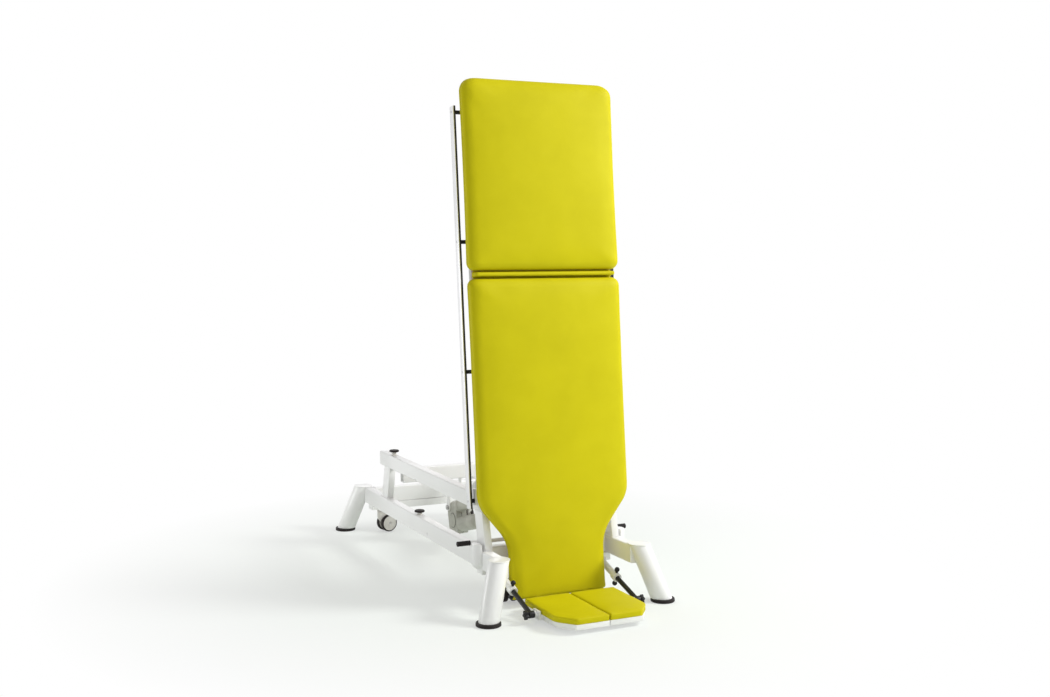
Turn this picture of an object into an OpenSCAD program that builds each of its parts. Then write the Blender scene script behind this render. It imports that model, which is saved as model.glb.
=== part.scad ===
// Physiotherapy tilt table: a bed that turns from level to upright on a fixed frame.
// +Y runs from the foot end to the head end, +X is the patient's left, +Z is up.
// The origin is on the floor under the middle of the whole table.

/* [Legs and feet] */
// Distance along between the front and the rear foot rings
foot_base = 1643; // [1600:1:1700]
// Diameter of a rubber foot ring
foot_ring_d = 91; // [86:1:100]
// Height of a rubber foot ring
foot_ring_h = 13; // [10:1:18]
// Outer diameter of a leg tube
leg_d = 76; // [70:1:80]
// How far a leg leans in sideways over its height
leg_in = 67; // [60:1:72]
// How far a leg leans in along the table over its height
leg_along = 60; // [50:1:70]

/* [Base frame] */
// Height of the top of the side rails
rail_top = 210; // [200:1:220]
// Height of a side rail
rail_h = 70; // [60:1:76]
// Width of a side rail
rail_w = 40; // [36:1:44]
// How far a side rail's inner face stands in from the bed tube's outer face
rail_in = 31; // [27:1:35]
// Wall of every frame tube
tube_wall = 3; // [2:0.5:4]
// Outer corner radius of every frame tube
tube_r = 6; // [4:0.5:8]
// Width of a cross bar along the table
cross_w = 40; // [36:1:44]
// Front cross bar, behind the line of the front feet
cross_front_at = 271; // [268:1:290]
// Rear cross bar, behind the line of the front feet
cross_rear_at = 1530; // [1500:1:1540]

/* [Uprights and upper frame] */
// Depth of an upright along the table
upright_depth = 70; // [60:1:74]
// Width of an upright
upright_w = 28; // [26:1:34]
// How far the foot of an upright stands out past its top
upright_flare = 35; // [25:1:40]
// Top centre of the front uprights, behind the line of the front feet
upright_front_at = 266; // [262:1:268]
// Top centre of the rear uprights, behind the line of the front feet
upright_rear_at = 1270; // [1240:1:1290]
// Underside of the upper beams
beam_under = 350; // [340:1:360]
// Height of an upper beam
beam_h = 60; // [54:1:64]
// Width of an upper beam
beam_w = 40; // [36:1:42]
// How far an upper beam's inner face stands in from the bed tube's outer face
beam_in = 36; // [35:1:39]
// Front end of the upper beams, behind the line of the front feet
beam_front_at = 226; // [226:1:232]
// Rear end of the upper beams, behind the line of the front feet
beam_rear_at = 1345; // [1330:1:1360]

/* [Tilt pivot] */
// Height of the tilt axis
pivot_z = 455; // [450:1:462]
// Tilt axis, behind the line of the front feet
pivot_at = 246; // [240:1:252]
// Lean of the bed back from upright, as modelled
lean = 5.8; // [4:0.1:8]
// Diameter of a tilt pin
tilt_pin_d = 20; // [16:1:24]

/* [Bed] */
// Width of the cushions
bed_w = 624; // [600:1:630]
// How far the neck at the foot end stands in at each side
neck_in = 116; // [112:1:120]
// Distance from the tilt axis down to the foot end of the lower cushion
bed_below = 429; // [420:1:432]
// Length of the lower cushion
lower_len = 1176; // [1140:1:1200]
// Length of the upper cushion
upper_len = 705; // [660:1:740]
// Gap between the two cushions
cushion_gap = 28; // [24:1:34]
// Thickness of the cushions at their edges
cushion_t = 46; // [40:1:52]
// Extra thickness at the middle of the cushions
cushion_crown = 11; // [6:1:14]
// Thickness of the board under the cushions
board_t = 12; // [10:1:15]
// Depth of the bed tubes
bed_tube_h = 40; // [36:1:44]
// Width of the bed tubes
bed_tube_w = 26; // [23:1:27]
// How far a bed tube's outer face stands in from the cushions' edge
bed_tube_in = 31; // [29:1:33]

/* [Accessory rails] */
// Height of the rail section
acc_rail_h = 30; // [25:1:32]
// Thickness of the metal face of the rail
acc_rail_t = 5; // [3:1:6]
// Thickness of the dark strip behind the face
acc_strip_t = 6; // [4:1:8]
// Clear distance from the bed tube to the dark strip
acc_gap = 32; // [30:1:35]
// Length of an accessory rail
acc_rail_len = 1477; // [1440:1:1500]

/* [Footplates] */
// How far the footplates' sides stand in from the neck's edge
footplate_in = 10; // [6:1:16]
// Gap between the two footplates
footplate_split = 4; // [3:0.5:6]
// Underside of the footplates above the floor
footplate_z = 17; // [15:0.5:20]
// Thickness of a footplate
footplate_t = 19; // [16:1:22]
// Thickness of a foot cushion at its edges
foot_pad_t = 19; // [16:1:22]
// Extra thickness at the middle of a foot cushion
foot_pad_crown = 4; // [2:0.5:6]
// Front edge of the footplates, ahead of the line of the front feet
footplate_front = 235; // [225:1:245]
// Rear edge of the foot cushions, behind the line of the front feet
foot_pad_rear = 62; // [50:1:68]
// Hinge axis of the footplates, behind the line of the front feet
foot_hinge_at = 99; // [96:1:101]

/* [Stays] */
// How far the middle of a stay stands out from the neck's edge
stay_out = 19; // [17:1:22]
// Diameter of a stay tube
stay_tube_d = 26; // [24:1:28]
// Diameter of a stay bar
stay_bar_d = 18; // [15:1:19]

/* [Tilt drive] */
// Rear pivot of the drive, behind the line of the front feet
drive_at = 1172; // [1165:1:1178]
// Height of the rear pivot of the drive
drive_z = 166; // [160:1:172]
// Front pivot of the drive, down the bed from the tilt axis
drive_down = 56; // [50:1:62]
// Front pivot of the drive, behind the tilt axis
drive_back = 112; // [106:1:116]
// Diameter of the drive's outer tube
drive_tube_d = 50; // [44:1:56]
// Diameter of the drive's rod
drive_rod_d = 28; // [24:1:32]
// Diameter of the drive's motor
motor_d = 66; // [58:1:72]
// Length of the drive's motor
motor_len = 175; // [150:1:190]

/* [Foot bar and castors] */
// How far the foot bar's grips reach out past the side rails
foot_bar_out = 66; // [60:1:70]
// Length of a grip
grip_len = 52; // [46:1:60]
// Diameter of a grip
grip_d = 19; // [18:1:21]
// Foot bar, behind the line of the front feet
foot_bar_at = 283; // [280:1:288]
// Height of the foot bar
foot_bar_z = 227; // [225:1:232]
// Diameter of a castor wheel
castor_d = 78; // [74:1:80]
// Width of one of a castor's two wheels
castor_wheel_w = 20; // [16:1:22]
// Distance from a castor's stem to its axle
castor_trail = 30; // [26:1:34]
// Clearance under the raised castors
castor_clear = 2; // [2:0.5:5]

/* [Hidden] */
$fn = 48;

// Fits, seats and overrun shared by the whole table
run_fit = 0.05;      // radial clearance of a pin in its bore
slide_fit = 0.1;     // radial clearance of a sliding tube
seat = 0.2;          // gap at a seat on a round surface
side_play = 1;       // side clearance at a moving joint
over = 5;            // overrun of a cut past its face
far = 4000;          // longer than the whole table

// Colours
frame_white = "whitesmoke";
lime = "yellowgreen";
black = "dimgray";
metal = "silver";

// Unit steps of a cushion's rounded edges
front_steps = 4;
back_steps = 2;
crown_steps = 6;
end_angles = [0, 30, 55, 75, 90];

// Widths: all follow from the width of the cushions
bed_tube_span = bed_w - 2 * bed_tube_in;
neck_w = bed_w - 2 * neck_in;
footplate_w = neck_w - 2 * footplate_in;
stay_span = neck_w + 2 * stay_out;
rail_gauge = bed_tube_span - 2 * rail_in;
beam_gauge = bed_tube_span - 2 * beam_in;
foot_bar_span = rail_gauge + 2 * rail_w + 2 * foot_bar_out;
rail_mid_x = rail_gauge / 2 + rail_w / 2;
beam_mid_x = beam_gauge / 2 + beam_w / 2;
leg_out = 18.5;      // from a rail's middle to the leg's axis at its top
leg_top_x = rail_mid_x + leg_out;
foot_track = 2 * (leg_top_x + leg_in);

// Whole table
front_end = -footplate_front;
rear_end = foot_base + foot_ring_d / 2;
origin_y = (front_end + rear_end) / 2;
leg_wall = tube_wall;
leg_turn = 25;
leg_cap_t = 4;
leg_cap_lip = 1.5;
beam_top = beam_under + beam_h;
beam_cap_t = 3;

// Castor lift beams and their guide plungers
lift_travel = 12;
lift_beam_h = 30;
lift_beam_w = 50;
lift_beam_len = rail_gauge + rail_w;
plunger_d = 20;
plunger_len = 60;
plunger_x = 110;
stem_d = 12;
stem_len = 22;
lift_beam_top = rail_top - rail_h - seat;

// Castors
castor_hood_d = 40;
castor_cap_d = 46;
castor_cap_t = 5;
castor_hood_w = 16;
castor_axle_d = 10;
castor_wheel_gap = 1;
castor_hub_share = 0.66;
tyre_edge_r = 5;
castor_top = lift_beam_top - lift_beam_h;
castor_axle_z = castor_d / 2 + castor_clear;
castor_front_in = 84;
castor_front_x = rail_gauge / 2 - castor_front_in;
castor_rear_in = 31;
castor_rear_x = rail_gauge / 2 - castor_rear_in;
castor_yaws = [176, 124, -78, 18];

// Upright sockets and bumpers
socket_d = 56;
socket_top = 235;
socket_bottom = 139;
bumper_d = 42;
bumper_t = 9;
bumper_stud_d = 20;
bed_bumper_at = 1207;
bed_bumper_out = 3;
bed_bumper_x = beam_mid_x + bed_bumper_out;
rail_bumper_at = 895;
rail_bumper_h = 20;

// Tilt pivot
tilt_bracket_t = 8;
tilt_bracket_r = 19;
tilt_bracket_gap = 2;
tilt_bracket_x = bed_tube_span / 2 - bed_tube_w - tilt_bracket_gap - tilt_bracket_t;
tilt_bush_wall = 4;
tilt_head_d = 30;
tilt_head_t = 5;

// Bed, in its own axes: the tilt axis is the origin, Z runs up the bed, -Y is its face
tube_front_y = -bed_tube_h / 2;
board_front_y = tube_front_y - board_t;
bed_tube_x = bed_tube_span / 2 - bed_tube_w / 2;
bed_tube_low = 35;
bed_head_room = 45;
bed_top_z = -bed_below + lower_len + cushion_gap + upper_len;
board_inset = 7;
board_side_inset = 24;
board_step = 24;
board_rise = 40;
shoulder_low = 142;
shoulder_mid = 208;
shoulder_high = 350;
shoulder_r = 110;
neck_r = 150;
head_corner_r = 50;
split_corner_r = 28;
foot_corner_r = 13;
cross_low_z = 65;
cross_split_z = -bed_below + lower_len + cushion_gap / 2;
cross_top_z = bed_top_z - bed_head_room - bed_tube_h / 2;
neck_tube_x = 100;
neck_tube_w = 30;
neck_tube_h = 30;
neck_back = tube_front_y + neck_tube_h;
strip_h = 12;
strip_face = 32;
strip_in = 22;
strip_w = bed_w - 2 * strip_in;

// Cushion edges
edge_front_r = 20;
edge_back_r = 8;
side_draw = 4;
body_step = 90;
neck_step = 22;

// Accessory rails
acc_mid_y = 13;
acc_low_z = -92;
acc_spacer_d = 15;
acc_spacer_shares = [0.019, 0.3392, 0.6622, 0.9851];
acc_tab_t = 8;
acc_tab_out = 19;
acc_tab_rise = 14;
acc_tab_low = 80;

// Footplates
foot_hinge_z = footplate_z + footplate_t / 2;
foot_pin_d = 10;
foot_knuckle_d = 18;
foot_arm_t = 12;
foot_arm_h = 15;
foot_arm_x = neck_tube_x;
foot_pin_over = 6;
foot_chamfer_x = 56;
foot_chamfer_y = 66;
foot_round_r = 30;
foot_pad_inset = 2;
foot_step = 30;
foot_gap = 2;
lug_t = 8;
lug_h = 32;
lug_len = 46;
lug_out = 9;
lug_x = footplate_w / 2 + lug_out;
lug_boss_d = 22;

// Stays: the upper pivot is on the bed, the lower one at the footplate's side
stay_up_at = 220;
stay_up_z = 120;
stay_down_at = -50;
stay_down_z = 35;
stay_shaft_d = 16;
stay_eye_d = 30;
stay_eye_w = 22;
stay_tube_share = 0.47;
stay_bar_in = 190;
stay_collar_d = 34;
stay_collar_len = 26;
stay_pin_d = 10;
stay_bar_eye_d = 26;
stay_bar_eye_w = 20;
clamp_ball_d = 19;
clamp_stem_d = 8;
clamp_reach = 12;
knob_d = 34;
knob_t = 16;
knob_lobes = 5;
knob_lobe_d = 12;

// Tilt drive, along its own axis from the rear pivot
drive_pin_d = 12;
drive_bracket_t = 6;
drive_bracket_w = 30;
gear_back = 26;
gear_front = 74;
gear_w = 48;
gear_up = 16;
gear_down = 120;
gear_r = 14;
motor_drop = 80;
drive_tube_end = 570;
drive_rod_len = 500;
rod_eye_d = 36;
rod_eye_w = 24;
drive_lug_t = 8;
drive_bolt_d = 14;
drive_bolt_head_d = 22;
drive_bolt_head_t = 7;
drive_lug_r = 20;
cable_d = 6;
cable_loop_r = 17;
upper_cross_low = 295;
upper_cross_h = 62;

// Foot bar
bar_d = 15;
arm_t = 8;
arm_h = 24;
arm_in = 14;
arm_x = rail_gauge / 2 - arm_in;
bar_pivot_at = 400;
bar_pivot_z = 180;
bar_stud_d = 14;
bar_stud_head_d = 24;
bar_stud_head_t = 5;

// Direction and pose helpers
module placed() {
    translate([0, -origin_y, 0]) children();
}
module on_bed() {
    placed() translate([0, pivot_at, pivot_z]) rotate([-lean, 0, 0]) children();
}
module both_sides() {
    children();
    mirror([1, 0, 0]) children();
}
module side(s) {
    if (s > 0) children();
    else mirror([1, 0, 0]) children();
}
// Turns +Z to the direction v in the plane across X
module aim(v) {
    rotate([atan2(-v[1], v[2]), 0, 0]) children();
}
function bed_to_floor(y, z) = [
    0,
    pivot_at + y * cos(lean) + z * sin(lean),
    pivot_z - y * sin(lean) + z * cos(lean)
];
function floor_to_bed(y, z) = [
    0,
    (y - pivot_at) * cos(lean) - (z - pivot_z) * sin(lean),
    (y - pivot_at) * sin(lean) + (z - pivot_z) * cos(lean)
];

// Rounded rectangle of exact arcs, and a tube of that section along +Z
module round_rect(w, h, r) {
    square([w - 2 * r, h], center = true);
    square([w, h - 2 * r], center = true);
    for (sx = [-1, 1], sy = [-1, 1]) translate([sx * (w / 2 - r), sy * (h / 2 - r)]) circle(r);
}
module box_tube(len, w, h) {
    linear_extrude(len) difference() {
        round_rect(w, h, tube_r);
        round_rect(w - 2 * tube_wall, h - 2 * tube_wall, tube_r - tube_wall / 2);
    }
}
module cross_tube(len, w, h) {
    rotate([0, 90, 0]) translate([0, 0, -len / 2]) box_tube(len, h, w);
}
module along_tube(len, w, h) {
    rotate([-90, 0, 0]) box_tube(len, w, h);
}
module x_pin(d, from, to) {
    translate([from, 0, 0]) rotate([0, 90, 0]) cylinder(h = to - from, d = d);
}

// Cushion solid: stations along +Z, thickness along +Y from the back plane at 0.
// A station is [z, left, right, back, edge, crown].
function edge_points(x0, dir, back, edge, rb, rf) = concat(
    [for (i = [0 : back_steps]) let (a = 90 * i / back_steps)
        [x0 + dir * (rb * sin(a) - rb), back + rb - rb * cos(a)]],
    [for (i = [0 : front_steps]) let (a = 90 * i / front_steps)
        [x0 + dir * (rf * cos(a) - rf), edge - rf + rf * sin(a)]]
);
function reversed(list) = [for (i = [len(list) - 1 : -1 : 0]) list[i]];
function section(st) =
    let (
        rf = min(edge_front_r, (st[4] - st[3]) * front_edge_share),
        rb = min(edge_back_r, (st[4] - st[3]) * back_edge_share),
        x0 = st[1] + rf,
        x1 = st[2] - rf
    )
    concat(
        edge_points(st[2], 1, st[3], st[4], rb, rf),
        [for (i = [1 : crown_steps - 1]) let (u = i / crown_steps, v = 2 * u - 1)
            [x1 + (x0 - x1) * u, st[4] + st[5] * (1 - v * v)]],
        reversed(edge_points(st[1], -1, st[3], st[4], rb, rf))
    );
front_edge_share = 0.55;
back_edge_share = 0.3;
module cushion(stations) {
    rings = [for (st = stations) section(st)];
    m = len(rings[0]);
    n = len(stations);
    points = [for (j = [0 : n - 1], p = rings[j]) [p[0], p[1], stations[j][0]]];
    walls = [for (j = [0 : n - 2], i = [0 : m - 1])
        let (k = (i + 1) % m)
        each [
            [j * m + i, (j + 1) * m + k, j * m + k],
            [j * m + i, (j + 1) * m + i, (j + 1) * m + k]
        ]];
    half = floor(m / 2);
    // Each end is a strip between its two sides, which stays flat and simple
    ends = [for (i = [0 : half - 1]) each [
        [i, i + 1, m - 2 - i],
        [i, m - 2 - i, m - 1 - i],
        [(n - 1) * m + i, (n - 1) * m + m - 2 - i, (n - 1) * m + i + 1],
        [(n - 1) * m + i, (n - 1) * m + m - 1 - i, (n - 1) * m + m - 2 - i]
    ]];
    whole = [for (f = concat(walls, ends)) if (f[0] != f[1] && f[1] != f[2] && f[0] != f[2]) f];
    polyhedron(points, whole);
}
// Places along a cushion: dense in its rounded ends, even between
function end_places(lo, hi, r, step) = concat(
    [for (a = end_angles) lo + r - r * cos(a)],
    [for (i = [1 : ceil((hi - lo - 2 * r) / step) - 1])
        lo + r + (hi - lo - 2 * r) * i / ceil((hi - lo - 2 * r) / step)],
    [for (i = [len(end_angles) - 1 : -1 : 0]) hi - r + r * cos(end_angles[i])]
);
// How much of a corner of radius r is cut off at distance d from its end
function round_off(r, d) = d >= r ? 0 : r - sqrt(max(0, r * r - (r - d) * (r - d)));
// Crown, fading almost to nothing at both ends
crown_fade = 0.95;
function crown_at(z, lo, hi) = let (u = (2 * z - lo - hi) / (hi - lo)) 1 - crown_fade * pow(u, 4);
function station(z, lo, hi, left, right, t, crown) = let (d = min(z - lo, hi - z)) [
    z, left, right,
    round_off(min(edge_back_r, t * end_back_share), d),
    t - round_off(min(edge_front_r, t * end_front_share), d),
    crown * crown_at(z, lo, hi)
];
end_front_share = 0.45;
end_back_share = 0.18;

// Half width of the bed at height z above its foot end
slope_angle = atan2(bed_w / 2 - neck_w / 2, shoulder_high - shoulder_mid);
neck_tan = neck_r * tan(slope_angle / 2);
shoulder_tan = shoulder_r * tan(slope_angle / 2);
function bed_half(z) =
    z <= shoulder_mid - neck_tan ? neck_w / 2
    : z <= shoulder_mid + neck_tan * cos(slope_angle)
        ? neck_w / 2 + neck_r - sqrt(neck_r * neck_r - pow(z - shoulder_mid + neck_tan, 2))
    : z <= shoulder_high - shoulder_tan * cos(slope_angle)
        ? neck_w / 2 + (z - shoulder_mid) * tan(slope_angle)
    : z <= shoulder_high + shoulder_tan
        ? bed_w / 2 - shoulder_r
            + sqrt(shoulder_r * shoulder_r - pow(shoulder_high + shoulder_tan - z, 2))
    : bed_w / 2;
function side_pull(z, lo, hi) = side_draw * (1 - pow((2 * z - lo - hi) / (hi - lo), 2));
function lower_half(z) =
    bed_half(z) - side_pull(z, 0, lower_len)
    - round_off(foot_corner_r, z) - round_off(split_corner_r, lower_len - z);
function upper_half(z) =
    bed_w / 2 - side_pull(z, 0, upper_len)
    - round_off(split_corner_r, z) - round_off(head_corner_r, upper_len - z);
function board_half(z, top) =
    bed_half(z - board_rise) - board_side_inset
    - round_off(foot_corner_r, z - board_inset) - round_off(head_corner_r, top - z);
lower_places = concat(
    [for (a = end_angles) edge_front_r - edge_front_r * cos(a)],
    [for (z = [shoulder_low - neck_step : neck_step : shoulder_high + shoulder_tan + neck_step]) z],
    [for (z = [shoulder_high + shoulder_tan + body_step : body_step : lower_len - body_step / 2]) z],
    [for (i = [len(end_angles) - 1 : -1 : 0])
        lower_len - split_corner_r + split_corner_r * cos(end_angles[i])]
);
upper_places = concat(
    [for (a = end_angles) split_corner_r - split_corner_r * cos(a)],
    [for (z = [body_step : body_step : upper_len - body_step]) z],
    [for (i = [len(end_angles) - 1 : -1 : 0])
        upper_len - head_corner_r + head_corner_r * cos(end_angles[i])]
);

// Base frame
module leg_body(d, low, high) {
    top = [leg_top_x - foot_track / 2, leg_along, rail_top];
    reach = norm(top);
    difference() {
        translate([foot_track / 2, 0, 0])
            rotate([0, acos(top[2] / reach), atan2(top[1], top[0])])
                rotate([0, 0, leg_turn]) translate([0, 0, -reach / 2]) cylinder(h = 2 * reach, d = d);
        translate([0, -foot_track / 2, high]) cube(foot_track);
        translate([0, -foot_track / 2, low - foot_track]) cube(foot_track);
    }
}
module leg() {
    difference() {
        leg_body(leg_d, foot_ring_h, rail_top);
        leg_body(leg_d - 2 * leg_wall, 0, rail_top + over);
    }
}
module at_rear() {
    translate([0, foot_base, 0]) mirror([0, 1, 0]) children();
}
module both_ends() {
    children();
    at_rear() children();
}
module side_rail() {
    difference() {
        union() {
            translate([rail_mid_x, leg_along, rail_top - rail_h / 2])
                along_tube(foot_base - 2 * leg_along, rail_w, rail_h);
            // Plates that close the two ends beside the legs
            both_ends() translate([rail_mid_x, leg_along, rail_top - rail_h / 2])
                rotate([-90, 0, 0]) linear_extrude(tube_wall) round_rect(rail_w, rail_h, tube_r);
        }
        both_ends() leg_body(leg_d + 2 * seat, 0, rail_top + over);
        // Bore of the foot bar's pivot stud
        translate([0, bar_pivot_at, bar_pivot_z])
            x_pin(bar_stud_d + 2 * run_fit, rail_gauge / 2 - over, rail_gauge / 2 + rail_w / 2);
    }
}
module side_rail_left() {
    color(frame_white) placed() side(-1) side_rail();
}
module side_rail_right() {
    color(frame_white) placed() side_rail();
}
module cross_bars() {
    color(frame_white) placed() for (at = [cross_front_at, cross_rear_at])
        translate([0, at, 0]) difference() {
            translate([0, 0, rail_top - rail_h / 2]) cross_tube(rail_gauge, cross_w, rail_h);
            both_sides() translate([plunger_x, 0, rail_top - rail_h - over])
                cylinder(h = rail_h - tube_wall + over, d = plunger_d + 2 * slide_fit);
        }
}
module front_legs() {
    color(frame_white) placed() both_sides() leg();
}
module rear_legs() {
    color(frame_white) placed() both_sides() at_rear() leg();
}
module end_caps() {
    color(frame_white) placed() {
        both_sides() both_ends() leg_body(leg_d + 2 * leg_cap_lip, rail_top, rail_top + leg_cap_t);
        both_sides() for (at = [beam_front_at - beam_cap_t, beam_rear_at])
            translate([beam_mid_x, at, beam_under + beam_h / 2]) rotate([-90, 0, 0])
                linear_extrude(beam_cap_t) round_rect(beam_w, beam_h, tube_r);
    }
}
module foot_rings() {
    bevel = foot_ring_h / 5;
    color(black) placed() both_sides() both_ends() translate([foot_track / 2, 0, 0])
        rotate_extrude() polygon([
            [0, 0], [foot_ring_d / 2 - bevel, 0], [foot_ring_d / 2, bevel],
            [foot_ring_d / 2, foot_ring_h - bevel], [foot_ring_d / 2 - bevel, foot_ring_h],
            [0, foot_ring_h]
        ]);
}

// Uprights lean from their foot on the rail to the underside of the beam
module upright(top_at, flare) {
    h = beam_under - rail_top;
    translate([beam_mid_x, top_at, 0]) difference() {
        upright_bar(upright_depth, upright_w, h, flare);
        upright_bar(upright_depth - 2 * tube_wall, upright_w - 2 * tube_wall, h + 2 * over, flare);
    }
}
module upright_bar(depth, w, h, flare) {
    slope = flare / (beam_under - rail_top);
    mid = (beam_under + rail_top) / 2;
    translate([-w / 2, 0, mid]) rotate([90, 0, 90]) linear_extrude(w) polygon([
        [flare / 2 - slope * h / 2 - depth / 2, h / 2], [flare / 2 - slope * h / 2 + depth / 2, h / 2],
        [flare / 2 + slope * h / 2 + depth / 2, -h / 2], [flare / 2 + slope * h / 2 - depth / 2, -h / 2]
    ]);
}
module front_uprights() {
    color(frame_white) placed() both_sides() upright(upright_front_at, -upright_flare);
}
module rear_uprights() {
    color(frame_white) placed() both_sides() upright(upright_rear_at, upright_flare);
}
module upright_sockets() {
    face = rail_gauge / 2 + rail_w;
    color(frame_white) placed() both_sides() difference() {
        translate([face, upright_front_at - upright_flare, socket_bottom + socket_d / 2]) {
            cylinder(h = socket_top - socket_bottom - socket_d / 2, d = socket_d);
            sphere(d = socket_d);
        }
        translate([face - socket_d, 0, 0]) cube([socket_d, far, far]);
    }
}
module beam() {
    translate([beam_mid_x, beam_front_at, beam_under + beam_h / 2])
        along_tube(beam_rear_at - beam_front_at, beam_w, beam_h);
}
module upper_beam_left() {
    color(frame_white) placed() side(-1) beam();
}
module upper_beam_right() {
    color(frame_white) placed() beam();
}
module upper_cross_bar() {
    color(frame_white) placed() translate([0, drive_at, upper_cross_low + upper_cross_h / 2])
        cross_tube(beam_gauge, cross_w, upper_cross_h);
}
// Flat cap on a narrower stud, h high in all
module rubber_stop(h) {
    edge = bumper_t / 4;
    rotate_extrude() polygon([
        [0, 0], [bumper_stud_d / 2, 0], [bumper_stud_d / 2, h - bumper_t],
        [bumper_d / 2, h - bumper_t], [bumper_d / 2, h - edge], [bumper_d / 2 - edge, h], [0, h]
    ]);
}
module bumpers() {
    bed_under = pivot_z - bed_tube_h / 2;
    color(black) placed() both_sides() {
        translate([bed_bumper_x, bed_bumper_at, beam_top]) rubber_stop(bed_under - seat - beam_top);
        translate([rail_mid_x, rail_bumper_at, rail_top]) rubber_stop(rail_bumper_h);
    }
}
module tilt_brackets() {
    color(frame_white) placed() both_sides() difference() {
        translate([tilt_bracket_x, pivot_at, 0]) rotate([90, 0, 90]) linear_extrude(tilt_bracket_t) {
            translate([-tilt_bracket_r, beam_top])
                square([2 * tilt_bracket_r, pivot_z - beam_top]);
            translate([0, pivot_z]) circle(tilt_bracket_r);
        }
        translate([0, pivot_at, pivot_z])
            x_pin(tilt_pin_d + 2 * run_fit, tilt_bracket_x - over, tilt_bracket_x + tilt_bracket_t + over);
    }
}
module pivot_pins() {
    color(metal) placed() {
        both_sides() {
            translate([0, pivot_at, pivot_z]) {
                x_pin(tilt_pin_d, tilt_bracket_x, bed_tube_span / 2 + side_play);
                x_pin(tilt_head_d, tilt_bracket_x - seat - tilt_head_t, tilt_bracket_x - seat);
                x_pin(tilt_pin_d, tilt_bracket_x - seat - tilt_head_t, tilt_bracket_x + seat);
            }
            translate([0, bar_pivot_at, bar_pivot_z]) {
                x_pin(bar_stud_d, arm_x - arm_t / 2 - side_play, rail_gauge / 2 + tube_wall);
                x_pin(bar_stud_head_d, arm_x - arm_t / 2 - side_play - bar_stud_head_t,
                    arm_x - arm_t / 2 - side_play);
            }
        }
        translate([0, drive_at, drive_z]) {
            x_pin(drive_pin_d, -drive_pin_half, drive_pin_half);
            both_sides() x_pin(drive_bolt_head_d, drive_pin_half, drive_pin_half + drive_bolt_head_t);
        }
    }
}
drive_pin_half = gear_w / 2 + side_play + drive_bracket_t + seat;
module drive_bracket() {
    inner = gear_w / 2 + side_play;
    color(frame_white) placed() both_sides() difference() {
        translate([inner, drive_at, 0]) rotate([90, 0, 90]) linear_extrude(drive_bracket_t) {
            translate([-drive_bracket_w / 2, drive_z])
                square([drive_bracket_w, upper_cross_low - drive_z]);
            translate([0, drive_z]) circle(drive_bracket_w / 2);
        }
        translate([0, drive_at, drive_z])
            x_pin(drive_pin_d + 2 * run_fit, inner - over, inner + drive_bracket_t + over);
    }
}

// Bed frame
module bed_tube() {
    top = bed_top_z - bed_head_room;
    difference() {
        union() {
            translate([bed_tube_x, 0, -bed_tube_low])
                box_tube(top + bed_tube_low, bed_tube_w, bed_tube_h);
            // Stepped tab beside and below the tube's end, which carries the lowest rail spacer
            translate([bed_tube_span / 2 - tube_wall, acc_mid_y - acc_rail_h / 2, -bed_tube_low])
                cube([acc_tab_out + tube_wall, acc_rail_h, acc_tab_rise]);
            translate([
                bed_tube_span / 2 + acc_tab_out - acc_tab_t, acc_mid_y - acc_rail_h / 2, -acc_tab_low
            ])
                cube([acc_tab_t, acc_rail_h, acc_tab_low - bed_tube_low + over]);
        }
        x_pin(tilt_pin_d + 2 * tilt_bush_wall + 2 * run_fit, bed_tube_x - bed_tube_w, bed_tube_span);
    }
}
module bed_tube_left() {
    color(frame_white) on_bed() side(-1) bed_tube();
}
module bed_tube_right() {
    color(frame_white) on_bed() bed_tube();
}
module bed_cross_tubes() {
    clear_w = bed_tube_span - 2 * bed_tube_w;
    color(frame_white) on_bed() {
        for (z = [cross_low_z, cross_split_z, cross_top_z])
            translate([0, 0, z]) cross_tube(clear_w, bed_tube_h, bed_tube_h);
        // Carries the drive's ears between the two neck tubes
        translate([0, tube_front_y + neck_tube_h / 2, -drive_down])
            cross_tube(2 * neck_tube_x - neck_tube_w, neck_tube_h, neck_tube_h);
    }
}
module neck_tubes() {
    low = -bed_below;
    high = cross_low_z - bed_tube_h / 2;
    shaft = floor_to_bed(stay_up_at, stay_up_z);
    color(frame_white) on_bed() both_sides() difference() {
        translate([neck_tube_x, tube_front_y + neck_tube_h / 2, low])
            box_tube(high - low, neck_tube_w, neck_tube_h);
        translate(shaft)
            x_pin(stay_shaft_d + 2 * run_fit, neck_tube_x - neck_tube_w, neck_tube_x + neck_tube_w);
    }
}
module foot_hinge_arms() {
    hinge = floor_to_bed(foot_hinge_at, foot_hinge_z);
    color(frame_white) on_bed() both_sides() difference() {
        translate([foot_arm_x - foot_arm_t / 2, 0, 0]) rotate([90, 0, 90]) linear_extrude(foot_arm_t) {
            translate([hinge[1], -bed_below - foot_arm_h]) square([neck_back - hinge[1], foot_arm_h]);
            translate([hinge[1], hinge[2]]) circle(foot_knuckle_d / 2);
        }
        translate(hinge) x_pin(foot_pin_d + 2 * run_fit, 0, bed_w);
    }
}
module tilt_bushes() {
    color(metal) on_bed() both_sides() difference() {
        x_pin(tilt_pin_d + 2 * tilt_bush_wall, bed_tube_x - bed_tube_w / 2, bed_tube_span / 2);
        x_pin(tilt_pin_d + 2 * run_fit, bed_tube_x - bed_tube_w, bed_tube_span);
    }
}
module bed_board() {
    top = bed_top_z + bed_below - board_inset;
    corner_angles = [15 : 15 : 90];
    places = concat(
        [board_inset],
        [for (a = corner_angles) board_inset + foot_corner_r * (1 - cos(a))],
        [for (z = [shoulder_low : board_step : shoulder_high + shoulder_tan]) z + board_rise],
        [for (a = corner_angles) top - head_corner_r * (1 - sin(a))]
    );
    half_side = [for (z = places) [board_half(z, top), z]];
    color("tan") on_bed() translate([0, tube_front_y, -bed_below]) rotate([90, 0, 0])
        linear_extrude(board_t) polygon(concat(
            half_side,
            [for (p = reversed(half_side)) [-p[0], p[1]]]
        ));
}
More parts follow.
